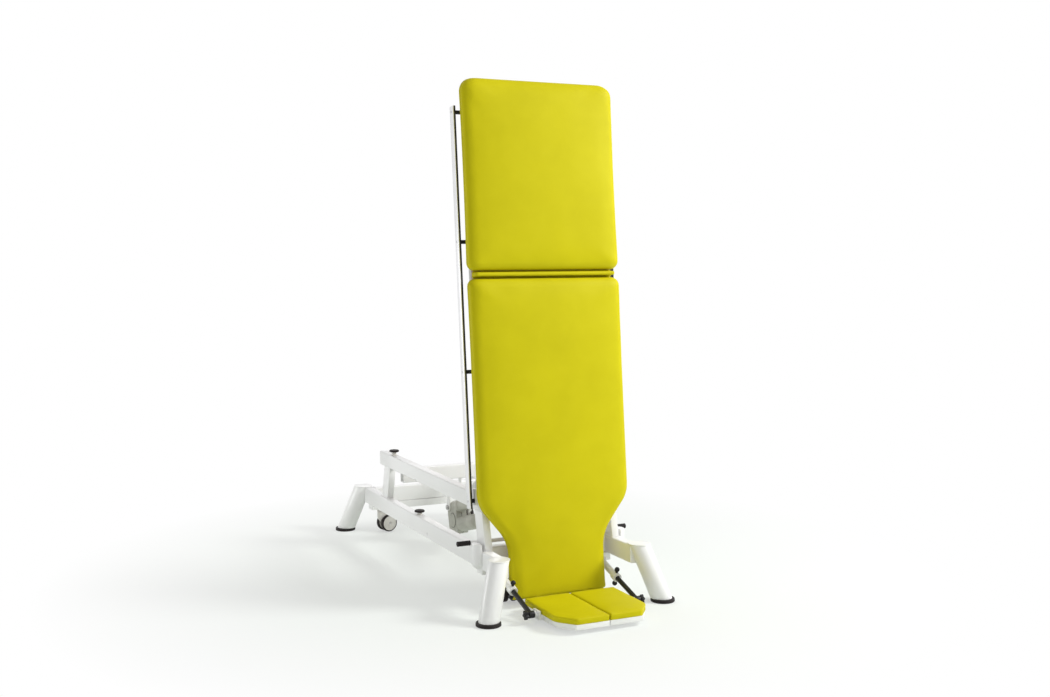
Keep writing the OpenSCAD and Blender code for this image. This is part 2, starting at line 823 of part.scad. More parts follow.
module cushion_lower() {
    color(lime) on_bed() translate([0, board_front_y, -bed_below]) mirror([0, 1, 0])
        cushion([for (z = lower_places)
            station(z, 0, lower_len, -lower_half(z), lower_half(z), cushion_t, cushion_crown)]);
}
module cushion_upper() {
    color(lime) on_bed() translate([0, board_front_y, bed_top_z - upper_len]) mirror([0, 1, 0])
        cushion([for (z = upper_places)
            station(z, 0, upper_len, -upper_half(z), upper_half(z), cushion_t, cushion_crown)]);
}
module cushion_strip() {
    color(lime) on_bed() translate([-strip_w / 2, board_front_y, cross_split_z])
        rotate([90, 0, 90]) linear_extrude(strip_w) {
            translate([-strip_face + strip_h / 2, -strip_h / 2])
                square([strip_face - strip_h / 2, strip_h]);
            translate([-strip_face + strip_h / 2, 0]) circle(strip_h / 2);
        }
}

// Accessory rails
acc_strip_x = bed_tube_span / 2 + acc_gap;
module accessory_rail() {
    translate([acc_strip_x + acc_strip_t, acc_mid_y - acc_rail_h / 2, acc_low_z])
        cube([acc_rail_t, acc_rail_h, acc_rail_len]);
}
module accessory_rail_left() {
    color(metal) on_bed() side(-1) accessory_rail();
}
module accessory_rail_right() {
    color(metal) on_bed() accessory_rail();
}
module rail_spacers() {
    color(black) on_bed() both_sides() {
        translate([acc_strip_x, acc_mid_y - acc_rail_h / 2, acc_low_z])
            cube([acc_strip_t, acc_rail_h, acc_rail_len]);
        for (share = acc_spacer_shares) {
            z = acc_low_z + share * acc_rail_len;
            foot = bed_tube_span / 2 + (z < -bed_tube_low ? acc_tab_out : 0);
            translate([0, acc_mid_y, z]) x_pin(acc_spacer_d, foot, acc_strip_x + acc_strip_t / 2);
        }
    }
}

// Footplates
function foot_half(y) =
    let (d = y + footplate_front)
    footplate_w / 2 - (d >= foot_chamfer_y ? 0 : foot_chamfer_x * (1 - d / foot_chamfer_y));
function foot_edge(y) = (
    foot_half(y) + foot_half(max(-footplate_front, y - foot_round_r / 2))
    + foot_half(y + foot_round_r / 2)) / 3;
foot_places = concat(
    [for (a = end_angles) -foot_pad_rear + foot_round_r / 2 * (1 - cos(a))],
    [for (y = [-foot_pad_rear + foot_step : foot_step : footplate_front - foot_chamfer_y - foot_step / 2]) y],
    [for (i = [0 : 4]) footplate_front - foot_chamfer_y + (foot_chamfer_y - foot_round_r / 2) * i / 4],
    [for (i = [len(end_angles) - 2 : -1 : 0])
        footplate_front - foot_round_r / 2 + foot_round_r / 2 * cos(end_angles[i])]
);
module foot_cushion() {
    color(lime) placed() translate([0, 0, footplate_z + footplate_t]) rotate([90, 0, 0])
        cushion([for (v = foot_places) station(
            v, -foot_pad_rear, footplate_front,
            footplate_split / 2 + foot_gap / 2,
            foot_edge(-v) - foot_pad_inset,
            foot_pad_t, foot_pad_crown)]);
}
module footplate() {
    hinge = [0, foot_hinge_at, foot_hinge_z];
    inner = footplate_split / 2;
    outer = footplate_w / 2 - foot_pad_inset;
    rear = foot_hinge_at - foot_knuckle_d / 2;
    color(frame_white) placed() difference() {
        union() {
            translate([0, 0, footplate_z]) linear_extrude(footplate_t) polygon(concat(
                [[inner, rear], [inner, foot_pad_inset - footplate_front]],
                [for (i = [0 : 6]) let (y = -footplate_front + foot_pad_inset + foot_chamfer_y * i / 6)
                    [foot_edge(y) - 2 * foot_pad_inset, y]],
                [[outer, rear - foot_round_r], [outer - foot_round_r / 2, rear]]
            ));
            // Knuckles either side of the hinge arm, and the lug for the stay
            translate(hinge) for (span = [
                [inner, foot_arm_x - foot_arm_t / 2 - side_play],
                [foot_arm_x + foot_arm_t / 2 + side_play, outer - foot_round_r / 2]
            ]) {
                x_pin(foot_knuckle_d, span[0], span[1]);
                translate([span[0], -foot_knuckle_d, -footplate_t / 2])
                    cube([span[1] - span[0], foot_knuckle_d, footplate_t]);
            }
            translate([lug_x - lug_t, stay_down_at - lug_len / 2, footplate_z])
                cube([lug_t, lug_len, lug_h]);
            translate([outer - lug_t, stay_down_at - lug_len / 2, footplate_z])
                cube([lug_x - outer, lug_len, footplate_t]);
            translate([0, stay_down_at, stay_down_z])
                x_pin(lug_boss_d, lug_x - lug_t, stay_span / 2 - stay_bar_eye_w / 2 - 2 * side_play);
        }
        translate(hinge) x_pin(foot_pin_d + 2 * run_fit, -over, bed_w);
        // Room for the hinge arm
        translate([foot_arm_x - foot_arm_t / 2 - side_play, rear - foot_pad_inset, 0])
            cube([foot_arm_t + 2 * side_play, foot_knuckle_d * 2, far]);
    }
}
module footplate_left() {
    mirror([1, 0, 0]) footplate();
}
module footplate_right() {
    footplate();
}
module foot_cushion_left() {
    mirror([1, 0, 0]) foot_cushion();
}
module foot_cushion_right() {
    foot_cushion();
}
module foot_shafts() {
    shaft_half = stay_span / 2 + stay_eye_w / 2 + side_play;
    color(metal) placed() {
        translate([0, foot_hinge_at, foot_hinge_z])
            x_pin(foot_pin_d, -footplate_w / 2 + foot_pin_over, footplate_w / 2 - foot_pin_over);
        translate([0, stay_up_at, stay_up_z]) {
            x_pin(stay_shaft_d, -shaft_half, shaft_half);
            both_sides() x_pin(stay_shaft_d + 2 * tilt_bush_wall, shaft_half, shaft_half + tube_wall);
        }
    }
}

// Stays, drawn along +Z from the upper pivot
stay_vec = [0, stay_down_at - stay_up_at, stay_down_z - stay_up_z];
stay_len = norm(stay_vec);
stay_tube_len = stay_len * stay_tube_share;
module at_stay() {
    placed() translate([stay_span / 2, stay_up_at, stay_up_z]) aim(stay_vec) children();
}
module stay_tube() {
    color(frame_white) at_stay() difference() {
        union() {
            x_pin(stay_eye_d, -stay_eye_w / 2, stay_eye_w / 2);
            translate([0, 0, stay_eye_d / 2 - tube_wall])
                cylinder(h = stay_tube_len - stay_eye_d / 2 + tube_wall, d = stay_tube_d);
            translate([0, 0, stay_tube_len - stay_collar_len])
                cylinder(h = stay_collar_len, d = stay_collar_d);
        }
        x_pin(stay_shaft_d + 2 * run_fit, -stay_tube_d, stay_tube_d);
        translate([0, 0, stay_eye_d / 2 + tube_wall])
            cylinder(h = stay_len, d = stay_bar_d + 2 * slide_fit);
    }
}
module stay_clamp() {
    reach = stay_collar_d / 2 + seat;
    color(black) at_stay() translate([0, 0, stay_tube_len - stay_collar_len / 2])
        for (turn = [0, 180]) rotate([0, 0, turn]) translate([0, -reach, 0]) rotate([90, 0, 0]) {
            cylinder(h = clamp_reach, d = clamp_stem_d);
            translate([0, 0, clamp_reach]) sphere(d = clamp_ball_d);
        }
}
module stay_bar() {
    color(black) at_stay() difference() {
        union() {
            translate([0, 0, stay_len - stay_bar_in])
                cylinder(h = stay_bar_in - stay_bar_eye_d / 2 + tube_wall, d = stay_bar_d);
            translate([0, 0, stay_len]) x_pin(stay_bar_eye_d, -stay_bar_eye_w / 2, stay_bar_eye_w / 2);
        }
        translate([0, 0, stay_len]) x_pin(stay_pin_d, -stay_bar_eye_w, stay_bar_eye_w);
    }
}
module stay_knob() {
    start = stay_bar_eye_w / 2 + seat;
    color(black) at_stay() translate([0, 0, stay_len]) {
        translate([start, 0, 0]) rotate([0, 90, 0]) linear_extrude(knob_t) {
            circle(d = knob_d - knob_lobe_d / 2);
            for (i = [0 : knob_lobes - 1]) rotate(360 * i / knob_lobes)
                translate([knob_d / 2 - knob_lobe_d / 2, 0]) circle(d = knob_lobe_d);
        }
        x_pin(stay_pin_d - 2 * run_fit, -stay_bar_eye_w / 2, start + knob_t / 2);
    }
}
module stay_tube_left() {
    mirror([1, 0, 0]) stay_tube();
}
module stay_tube_right() {
    stay_tube();
}
module stay_clamp_left() {
    mirror([1, 0, 0]) stay_clamp();
}
module stay_clamp_right() {
    stay_clamp();
}
module stay_bar_left() {
    mirror([1, 0, 0]) stay_bar();
}
module stay_bar_right() {
    stay_bar();
}
module stay_knob_left() {
    mirror([1, 0, 0]) stay_knob();
}
module stay_knob_right() {
    stay_knob();
}

// Tilt drive, drawn along +Z from its rear pivot to the ears on the bed
drive_front = bed_to_floor(drive_back, -drive_down);
drive_vec = drive_front - [0, drive_at, drive_z];
drive_len = norm(drive_vec);
module at_drive() {
    placed() translate([0, drive_at, drive_z]) aim(drive_vec) children();
}
module drive_body() {
    color("gainsboro") at_drive() difference() {
        union() {
            translate([0, (gear_up - gear_down) / 2, (gear_front - gear_back) / 2])
                rotate([0, 90, 0]) translate([0, 0, -gear_w / 2]) linear_extrude(gear_w)
                    round_rect(gear_front + gear_back, gear_up + gear_down, gear_r);
            cylinder(h = drive_tube_end, d = drive_tube_d);
        }
        x_pin(drive_pin_d + 2 * run_fit, -gear_w, gear_w);
        translate([0, 0, gear_front]) cylinder(h = drive_len, d = drive_rod_d + 2 * slide_fit);
    }
}
module drive_motor() {
    edge = motor_d / 6;
    color("gainsboro") at_drive() translate([0, -motor_drop, gear_front]) rotate_extrude() polygon([
        [0, 0], [motor_d / 2, 0], [motor_d / 2, motor_len - edge],
        [motor_d / 2 - edge, motor_len], [0, motor_len]
    ]);
}
// Short lead that loops out of the gear housing's rear and back in
module motor_cable() {
    color(black) at_drive() intersection() {
        translate([-gear_w / 4, -cable_loop_r, -gear_back]) rotate([0, 90, 0]) rotate_extrude()
            translate([cable_loop_r, 0]) circle(d = cable_d);
        translate([-far / 2, -far / 2, -gear_back - far]) cube([far, far, far]);
    }
}
module drive_rod() {
    color(metal) at_drive() difference() {
        union() {
            translate([0, 0, drive_len - drive_rod_len])
                cylinder(h = drive_rod_len - rod_eye_d / 2 + tube_wall, d = drive_rod_d);
            translate([0, 0, drive_len]) x_pin(rod_eye_d, -rod_eye_w / 2, rod_eye_w / 2);
        }
        translate([0, 0, drive_len]) x_pin(drive_bolt_d, -rod_eye_w, rod_eye_w);
    }
}
// Two ears on the bed either side of the rod's eye, each with its own short bolt
module drive_lugs() {
    inner = drive_rod_d / 2 + side_play;
    color(frame_white) on_bed() both_sides() {
        translate([inner, 0, 0]) rotate([90, 0, 90]) linear_extrude(drive_lug_t) {
            translate([neck_back, -drive_down - drive_lug_r])
                square([drive_back - neck_back, 2 * drive_lug_r]);
            translate([drive_back, -drive_down]) circle(drive_lug_r);
        }
        translate([0, drive_back, -drive_down])
            x_pin(drive_bolt_head_d, inner + drive_lug_t, inner + drive_lug_t + drive_bolt_head_t);
    }
}

// Foot bar, and the beams that lower the castors with it
bar_vec = [0, foot_bar_at - bar_pivot_at, foot_bar_z - bar_pivot_z];
module foot_bar() {
    half = foot_bar_span / 2 - over;
    color(frame_white) placed() {
        translate([0, foot_bar_at, foot_bar_z]) x_pin(bar_d, -half, half);
        both_sides() difference() {
            translate([arm_x, bar_pivot_at, bar_pivot_z]) aim(bar_vec) {
                translate([-arm_t / 2, -arm_h / 2, 0]) cube([arm_t, arm_h, norm(bar_vec)]);
                x_pin(arm_h, -arm_t / 2, arm_t / 2);
                translate([0, 0, norm(bar_vec)]) x_pin(arm_h, -arm_t / 2, arm_t / 2);
            }
            translate([0, bar_pivot_at, bar_pivot_z])
                x_pin(bar_stud_d + 2 * run_fit, arm_x - arm_t, arm_x + arm_t);
        }
    }
}
module foot_grips() {
    tip = foot_bar_span / 2;
    color(black) placed() both_sides() translate([0, foot_bar_at, foot_bar_z]) difference() {
        x_pin(grip_d, tip - grip_len, tip);
        x_pin(bar_d + 2 * run_fit, tip - grip_len - over, tip - over + seat);
    }
}
module castor_beams() {
    places = [[cross_front_at, castor_front_x], [cross_rear_at, castor_rear_x]];
    color(frame_white) placed() for (place = places) translate([0, place[0], lift_beam_top]) {
        difference() {
            translate([-lift_beam_len / 2, -lift_beam_w / 2, -lift_beam_h])
                cube([lift_beam_len, lift_beam_w, lift_beam_h]);
            both_sides() translate([place[1], 0, -lift_beam_h - over])
                cylinder(h = stem_len + over + seat, d = stem_d + 2 * run_fit);
        }
        both_sides() translate([plunger_x, 0, -seat]) cylinder(h = plunger_len, d = plunger_d);
    }
}

// Castors: index 0 and 1 are the front left and right, 2 and 3 the rear ones
module at_castor(i) {
    x = i < 2 ? castor_front_x : castor_rear_x;
    at = i < 2 ? cross_front_at : cross_rear_at;
    placed() translate([i % 2 == 0 ? -x : x, at, 0]) rotate([0, 0, castor_yaws[i]]) children();
}
module castor_fork(i) {
    axle_half = castor_hood_w / 2 + castor_wheel_gap + castor_wheel_w;
    hood_low = castor_axle_z + castor_hood_d / 2;
    color(black) at_castor(i) {
        translate([0, 0, castor_top - seat]) cylinder(h = stem_len, d = stem_d);
        translate([0, 0, castor_top - seat - castor_cap_t]) cylinder(h = castor_cap_t, d = castor_cap_d);
        intersection() {
            union() {
                translate([0, 0, castor_axle_z]) cylinder(h = castor_top - seat - castor_axle_z, d = castor_hood_d);
                translate([-castor_hood_d / 2, 0, castor_axle_z - castor_axle_d])
                    cube([castor_hood_d, castor_trail, hood_low - castor_axle_z + castor_axle_d]);
            }
            translate([-castor_hood_w / 2, -castor_hood_d, 0])
                cube([castor_hood_w, castor_hood_d + castor_trail, castor_top]);
        }
        translate([0, castor_trail, castor_axle_z]) {
            x_pin(2 * castor_axle_d, -castor_hood_w / 2, castor_hood_w / 2);
            x_pin(castor_axle_d, -axle_half, axle_half);
        }
    }
}
module castor_wheels(i) {
    r = castor_d / 2;
    hub_r = r * castor_hub_share;
    dish = castor_wheel_w / 8;
    color("darkgray") at_castor(i) translate([0, castor_trail, castor_axle_z]) both_sides()
        translate([castor_hood_w / 2 + castor_wheel_gap, 0, 0]) rotate([0, 90, 0])
            rotate_extrude() difference() {
                polygon([
                    [0, 0], [r - tyre_edge_r, 0], [r, tyre_edge_r],
                    [r, castor_wheel_w - tyre_edge_r], [r - tyre_edge_r, castor_wheel_w],
                    [hub_r, castor_wheel_w], [hub_r - dish, castor_wheel_w - dish],
                    [0, castor_wheel_w - dish]
                ]);
                translate([-over, -over])
                    square([over + castor_axle_d / 2 + run_fit, castor_wheel_w + 2 * over]);
            }
}
module castor_fork_fl() {
    castor_fork(0);
}
module castor_fork_fr() {
    castor_fork(1);
}
module castor_fork_rl() {
    castor_fork(2);
}
module castor_fork_rr() {
    castor_fork(3);
}
module castor_wheels_fl() {
    castor_wheels(0);
}
module castor_wheels_fr() {
    castor_wheels(1);
}
module castor_wheels_rl() {
    castor_wheels(2);
}
module castor_wheels_rr() {
    castor_wheels(3);
}

side_rail_left();
side_rail_right();
cross_bars();
front_legs();
rear_legs();
end_caps();
foot_rings();
front_uprights();
rear_uprights();
upright_sockets();
upper_beam_left();
upper_beam_right();
upper_cross_bar();
bumpers();
tilt_brackets();
pivot_pins();
drive_bracket();
bed_tube_left();
bed_tube_right();
bed_cross_tubes();
neck_tubes();
foot_hinge_arms();
tilt_bushes();
bed_board();
cushion_lower();
cushion_upper();
cushion_strip();
accessory_rail_left();
accessory_rail_right();
rail_spacers();
drive_lugs();
foot_shafts();
footplate_left();
footplate_right();
foot_cushion_left();
foot_cushion_right();
stay_tube_left();
stay_tube_right();
stay_clamp_left();
stay_clamp_right();
stay_bar_left();
stay_bar_right();
stay_knob_left();
stay_knob_right();
drive_body();
drive_motor();
motor_cable();
drive_rod();
foot_bar();
foot_grips();
castor_beams();
castor_fork_fl();
castor_fork_fr();
castor_fork_rl();
castor_fork_rr();
castor_wheels_fl();
castor_wheels_fr();
castor_wheels_rl();
castor_wheels_rr();
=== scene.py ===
import math

import bmesh
import bpy
from mathutils import Matrix, Vector, noise
from mathutils.bvhtree import BVHTree
from mathutils.kdtree import KDTree


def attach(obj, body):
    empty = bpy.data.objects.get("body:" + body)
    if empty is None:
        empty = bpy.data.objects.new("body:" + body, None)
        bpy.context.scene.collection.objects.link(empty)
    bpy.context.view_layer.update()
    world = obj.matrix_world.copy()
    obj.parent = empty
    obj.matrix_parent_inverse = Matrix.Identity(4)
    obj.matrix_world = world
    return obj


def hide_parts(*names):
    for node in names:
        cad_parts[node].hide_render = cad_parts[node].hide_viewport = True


bl_info = {
    "name": "Physiotherapy tilt table",
    "version": (1, 0, 0),
    "blender": (4, 5, 0),
    "location": "3D View > Sidebar > Tilt table",
    "description": "Upholstery, paint, castors, drive and fittings for the tilt table's frame",
    "category": "Object",
}

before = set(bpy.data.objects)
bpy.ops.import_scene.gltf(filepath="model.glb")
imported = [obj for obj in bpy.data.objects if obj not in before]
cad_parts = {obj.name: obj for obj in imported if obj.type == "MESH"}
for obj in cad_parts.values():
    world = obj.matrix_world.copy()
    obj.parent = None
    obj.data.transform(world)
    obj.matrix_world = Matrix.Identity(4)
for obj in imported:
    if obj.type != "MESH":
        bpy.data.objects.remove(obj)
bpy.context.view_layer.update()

MM = 0.001
ORIGIN_Y = 726.75
LEAN = math.radians(5.8)
PIVOT = (246.0, 455.0)
SIDES = (("left", -1), ("right", 1))
QUARTER = math.pi / 2
WHITE = (1.0, 1.0, 1.0, 1.0)


# ---------------------------------------------------------------- places

def place(x, y, z):
    """A point given in millimetres from the line of the front feet, in metres in the row frame."""
    return Vector((x * MM, (y - ORIGIN_Y) * MM, z * MM))


def slide(x, y, z):
    return Matrix.Translation((x, y, z))


def swing(angle, axis):
    return Matrix.Rotation(angle, 4, axis)


def stand(x, y, z):
    """Upright millimetre axes at a point given from the line of the front feet."""
    return Matrix.Translation(place(x, y, z)) @ Matrix.Scale(MM, 4)


def bed_matrix():
    """Bed axes in millimetres: the tilt axis is the origin, Z runs up the bed, -Y is its face."""
    return stand(0, *PIVOT) @ swing(-LEAN, "X")


def aimed(origin, target):
    """Millimetre axes at origin, with Z towards target in the plane across X."""
    d = (target - origin).normalized()
    return Matrix.Translation(origin) @ swing(math.atan2(-d.y, d.z), "X") @ Matrix.Scale(MM, 4)


# ---------------------------------------------------------------- settings

def colour(name, text, value):
    return bpy.props.FloatVectorProperty(
        name=name, description=text, subtype="COLOR", size=3, min=0.0, max=1.0, default=value)


def number(name, text, value, **kind):
    return bpy.props.FloatProperty(name=name, description=text, default=value, **kind)


def length(name, text, value):
    return number(name, text, value, min=0.0, subtype="DISTANCE", unit="LENGTH")


class UpholsterySettings(bpy.types.PropertyGroup):
    lime: colour("Lime", "Colour of the artificial leather", (0.625, 0.556, 0.003))
    # Darker lime for the random cloudiness and for the painted shade in the hollows of the grain.
    lime_shade_and_mottle: colour("Deep lime", "Colour in the hollows of the grain", (0.545, 0.482, 0.002))
    crown: length("Crown", "Extra thickness in the middle of a bed cushion", 0.011)
    shrink: length("Undersize", "How much smaller a cushion starts before it is inflated", 0.0012)
    pressure: number("Pressure", "Inflation pressure of the cushions", 4.0, min=0.0)
    swell: length("Swell", "Most that inflation may move a point", 0.0030)
    stitch: length("Stitch", "Distance from stitch to stitch", 0.0042)


class FrameSettings(bpy.types.PropertyGroup):
    white: colour("White paint", "Powder coat of the frame", (0.905, 0.903, 0.895))
    steel: colour("Steel", "Pins, bushes, axles and screws", (0.560, 0.560, 0.565))
    aluminium: colour("Aluminium", "Face of the accessory rails", (0.780, 0.785, 0.790))
    rubber: colour("Rubber", "Foot rings, stops and grips", (0.018, 0.014, 0.014))
    # Also the spacers' dark strip, which stands as a painted reflection along the rails' front
    # edges.
    plastic: colour("Black plastic", "Knobs, stay bars and spacers", (0.012, 0.012, 0.013))
    housing: colour("Drive housing", "Plastic of the drive", (0.470, 0.468, 0.410))
    hub: colour("Castor hub", "Plastic of the castor wheels", (0.700, 0.680, 0.640))
    edge: length("Edge radius", "Rounding of painted edges", 0.0009)
    weld: length("Weld width", "Width of a weld bead", 0.0050)


class StageSettings(bpy.types.PropertyGroup):
    eye: bpy.props.FloatVectorProperty(
        name="Camera", description="Where the camera stands", subtype="TRANSLATION",
        unit="LENGTH", size=3, default=(-2.0963, -4.65885, 1.3289))
    turn: number("Turn", "Camera's turn to the right", math.radians(25.58),
                 subtype="ANGLE", unit="ROTATION")
    dip: number("Dip", "Camera's angle below level", math.radians(4.76),
                subtype="ANGLE", unit="ROTATION")
    lens: number("Lens", "Focal length on a 36 mm sensor", 43.149,
                 subtype="DISTANCE_CAMERA", unit="CAMERA")
    key: number("Key light", "Power of the main lamp", 250.0, unit="POWER")
    fill: number("Fill light", "Power of the second lamp", 20.0, unit="POWER")
    side: number("Side light", "Power of the low lamp on the left", 30.0, unit="POWER")
    sky: number("Sky", "Strength of the even light", 0.45, min=0.0)


def upholstery():
    return bpy.context.scene.tilt_upholstery


def framework():
    return bpy.context.scene.tilt_framework


# ---------------------------------------------------------------- shader building

def maths(operation, reflected=False):
    """An operator of Sock, which adds a Math node."""
    def method(self, other):
        values = (other, self) if reflected else (self, other)
        return self.nodes.node("ShaderNodeMath", {"operation": operation}, *values)
    return method


class Sock:
    """One output socket; sums written with it add Math nodes."""

    def __init__(self, nodes, socket):
        self.nodes = nodes
        self.socket = socket

    __add__, __radd__ = maths("ADD"), maths("ADD", True)
    __sub__, __rsub__ = maths("SUBTRACT"), maths("SUBTRACT", True)
    __mul__, __rmul__ = maths("MULTIPLY"), maths("MULTIPLY", True)

    def clamped(self):
        settings = {"operation": "ADD", "use_clamp": True}
        return self.nodes.node("ShaderNodeMath", settings, self, 0.0)


class NodeTree:
    """A node tree, with the one method that adds every node."""

    def __init__(self, tree):
        self.tree = tree
        self.made = None
        tree.nodes.clear()

    def node(self, kind, settings=None, *values, out=0, **named):
        """Adds a node, sets its settings first, then fills its sockets in order or by name."""
        self.made = made = self.tree.nodes.new(kind)
        for key, value in (settings or {}).items():
            setattr(made, key, value)
        for key, value in enumerate(values):
            self.put(made.inputs[key], value)
        for key, value in named.items():
            self.put(made.inputs[key.replace("_", " ")], value)
        return Sock(self, made.outputs[out]) if made.outputs else None

    def put(self, socket, value):
        if isinstance(value, Sock):
            self.tree.links.new(value.socket, socket)
        elif value is not None:
            socket.default_value = value

    def seen(self):
        """1 for what the camera sees, directly or in something shiny or clear."""
        camera = self.node("ShaderNodeLightPath", out="Is Camera Ray")
        rays = self.made.outputs
        shiny, clear = Sock(self, rays["Is Glossy Ray"]), Sock(self, rays["Is Transmission Ray"])
        return (camera + shiny + clear).clamped()


class Finish(NodeTree):
    """One material with a Principled shader."""

    def __init__(self, name):
        self.material = bpy.data.materials.new(name)
        self.material.use_nodes = True
        super().__init__(self.material.node_tree)
        self.surface = self.node("ShaderNodeBsdfPrincipled")
        self.shader = self.made
        self.node("ShaderNodeOutputMaterial", None, self.surface)
        self.end = self.made
        self.at = self.node("ShaderNodeTexCoord", None, out="Object")

    def mix(self, factor, a, b):
        """Colour between a and b."""
        a, b = (c if isinstance(c, Sock) else (*c, 1.0) for c in (a, b))
        unused = [None] * 5
        return self.node("ShaderNodeMix", {"data_type": "RGBA"}, factor, *unused, a, b, out=2)

    def noise(self, scale, detail=3.0, rough=0.5, vector=None):
        return self.node("ShaderNodeTexNoise", None, Vector=vector or self.at,
                         Scale=scale, Detail=detail, Roughness=rough)

    def cells(self, scale):
        return self.node("ShaderNodeTexVoronoi", None, out="Distance", Vector=self.at,
                         Scale=scale)

    def span(self, value, low, high, to_low=0.0, to_high=1.0):
        return self.node("ShaderNodeMapRange", {"clamp": True}, value, low, high, to_low, to_high)

    def stretched(self, scale, turn=(0, 0, 0)):
        """Object coordinates turned first, then scaled."""
        turned = self.node("ShaderNodeMapping", None, Vector=self.at, Rotation=turn)
        return self.node("ShaderNodeVectorMath", {"operation": "MULTIPLY"}, turned, scale)

    def bump(self, height, strength, distance):
        return self.node("ShaderNodeBump", None, Height=height, Strength=strength,
                         Distance=distance, out="Normal")

    def fill(self, **named):
        for key, value in named.items():
            self.put(self.shader.inputs[key.replace("_", " ")], value)
        return self.material


def lime_leather():
    """Artificial leather: fine pebble grain with painted shade in its hollows, faint cloudiness and
    a soft sheen.
    """
    s = upholstery()
    f = Finish("lime_artificial_leather")
    cloud = f.span(f.noise(5.5, 4.0), 0.3, 0.7)
    grain = f.cells(780.0)
    pores = f.cells(1900.0)
    creases = f.noise(55.0, 5.0, 0.6)
    # Darker where the random cloud is low, and darker where the grain is low: the latter is painted
    # shade in the grain's hollows.
    tone = (cloud * 0.55 + grain * 0.35 + 0.12).clamped()
    base = f.mix(tone, tuple(s.lime_shade_and_mottle), tuple(s.lime))
    worn = f.span(f.noise(17.0, 3.0), 0.45, 0.75, 0.0, 0.18)
    height = grain * 0.6 + pores * 0.25 + creases * 0.5
    return f.fill(
        Base_Color=f.mix(worn, base, (0.67, 0.60, 0.010)),
        Roughness=0.56 - cloud * 0.06 + grain * 0.08,
        Specular_IOR_Level=0.12,
        Normal=f.bump(height, 0.16, 0.0004),
    )


def seam_thread():
    """Matching sewing thread, twisted."""
    f = Finish("lime_thread")
    twist = f.noise(2600.0, 2.0)
    return f.fill(
        Base_Color=f.mix(twist, (0.42, 0.40, 0.02), (0.62, 0.60, 0.06)),
        Roughness=0.62 + twist * 0.15,
        Normal=f.bump(twist, 0.3, 0.0002),
    )


def white_paint():
    """Powder coat: orange peel, slight tone drift and a satin gloss."""
    s = framework()
    f = Finish("white_powder_coat")
    peel = f.noise(420.0, 2.0, 0.45)
    drift = f.span(f.noise(3.2, 3.0), 0.3, 0.7)
    scuff = f.span(f.noise(60.0, 6.0, 0.7), 0.63, 0.8, 0.0, 0.25)
    base = f.mix(drift, tuple(0.965 * c for c in s.white), tuple(s.white))
    return f.fill(
        Base_Color=f.mix(scuff, base, (0.80, 0.80, 0.78)),
        Roughness=0.27 + drift * 0.06 + scuff * 0.5,
        Coat_Weight=0.25 - scuff,
        Coat_Roughness=0.12,
        Normal=f.bump(peel, 0.10, 0.0003),
    )


def moulded_rubber():
    s = framework()
    f = Finish("moulded_rubber")
    fine = f.noise(900.0, 4.0, 0.6)
    dust = f.span(f.noise(24.0, 5.0, 0.65), 0.5, 0.8, 0.0, 0.35)
    return f.fill(
        Base_Color=f.mix(dust, tuple(s.rubber), (0.042, 0.037, 0.034)),
        Specular_IOR_Level=0.22,
        Roughness=0.56 + dust * 0.5 + fine * 0.06,
        Normal=f.bump(fine, 0.22, 0.0003),
    )


def grained_plastic(name, shade, light, rough, gloss=0.5):
    """Moulded plastic with a spark-eroded grain."""
    f = Finish(name)
    grain = f.cells(1500.0)
    cloud = f.noise(14.0, 4.0)
    return f.fill(
        Base_Color=f.mix(f.span(cloud, 0.35, 0.75), tuple(shade), tuple(light)),
        Roughness=rough + grain * 0.10 + cloud * 0.05,
        Specular_IOR_Level=gloss,
        Normal=f.bump(grain, 0.12, 0.0002),
    )


def brushed_metal(name, shade, stretch, turn, rough):
    """Metal with fine lines along one direction."""
    f = Finish(name)
    lines = f.noise(1.0, 3.0, 0.6, f.stretched(stretch, turn))
    cloud = f.noise(9.0, 4.0)
    return f.fill(
        Base_Color=f.mix(f.span(cloud, 0.3, 0.7), tuple(0.90 * c for c in shade), tuple(shade)),
        Metallic=1.0,
        Roughness=rough + lines * 0.14 + cloud * 0.04,
        Normal=f.bump(lines, 0.04, 0.0001),
    )


def chrome_plate():
    f = Finish("hard_chrome")
    haze = f.noise(40.0, 4.0)
    rings = f.noise(1.0, 2.0, 0.5, f.stretched((60.0, 900.0, 300.0)))
    return f.fill(
        Base_Color=f.mix(haze, (0.60, 0.61, 0.62), (0.74, 0.75, 0.76)),
        Metallic=1.0,
        Roughness=0.07 + haze * 0.05 + rings * 0.05,
        Normal=f.bump(rings, 0.04, 0.0001),
    )


def plywood():
    """Birch board: long grain on the faces, thin layers on the edges."""
    f = Finish("birch_plywood")
    turned = f.stretched((1.0, 1.0, 1.0), (LEAN, 0, 0))
    split = f.node("ShaderNodeSeparateXYZ", None, turned, out="Y")
    layer = f.node("ShaderNodeMath", {"operation": "SINE"}, split * 2600.0)
    grain = f.noise(1.0, 6.0, 0.65, f.stretched((46.0, 46.0, 3.2), (LEAN, 0, 0)))
    pore = f.noise(1.0, 3.0, 0.6, f.stretched((700.0, 700.0, 26.0), (LEAN, 0, 0)))
    face = f.mix(f.span(grain, 0.3, 0.75), (0.54, 0.38, 0.22), (0.70, 0.54, 0.36))
    return f.fill(
        Base_Color=f.mix(f.span(layer, 0.3, 0.8, 0.0, 0.45), face, (0.36, 0.23, 0.12)),
        Roughness=0.50 + pore * 0.16,
        Normal=f.bump(pore * 0.6 + grain * 0.4, 0.18, 0.0004),
    )


FINISHES = {}


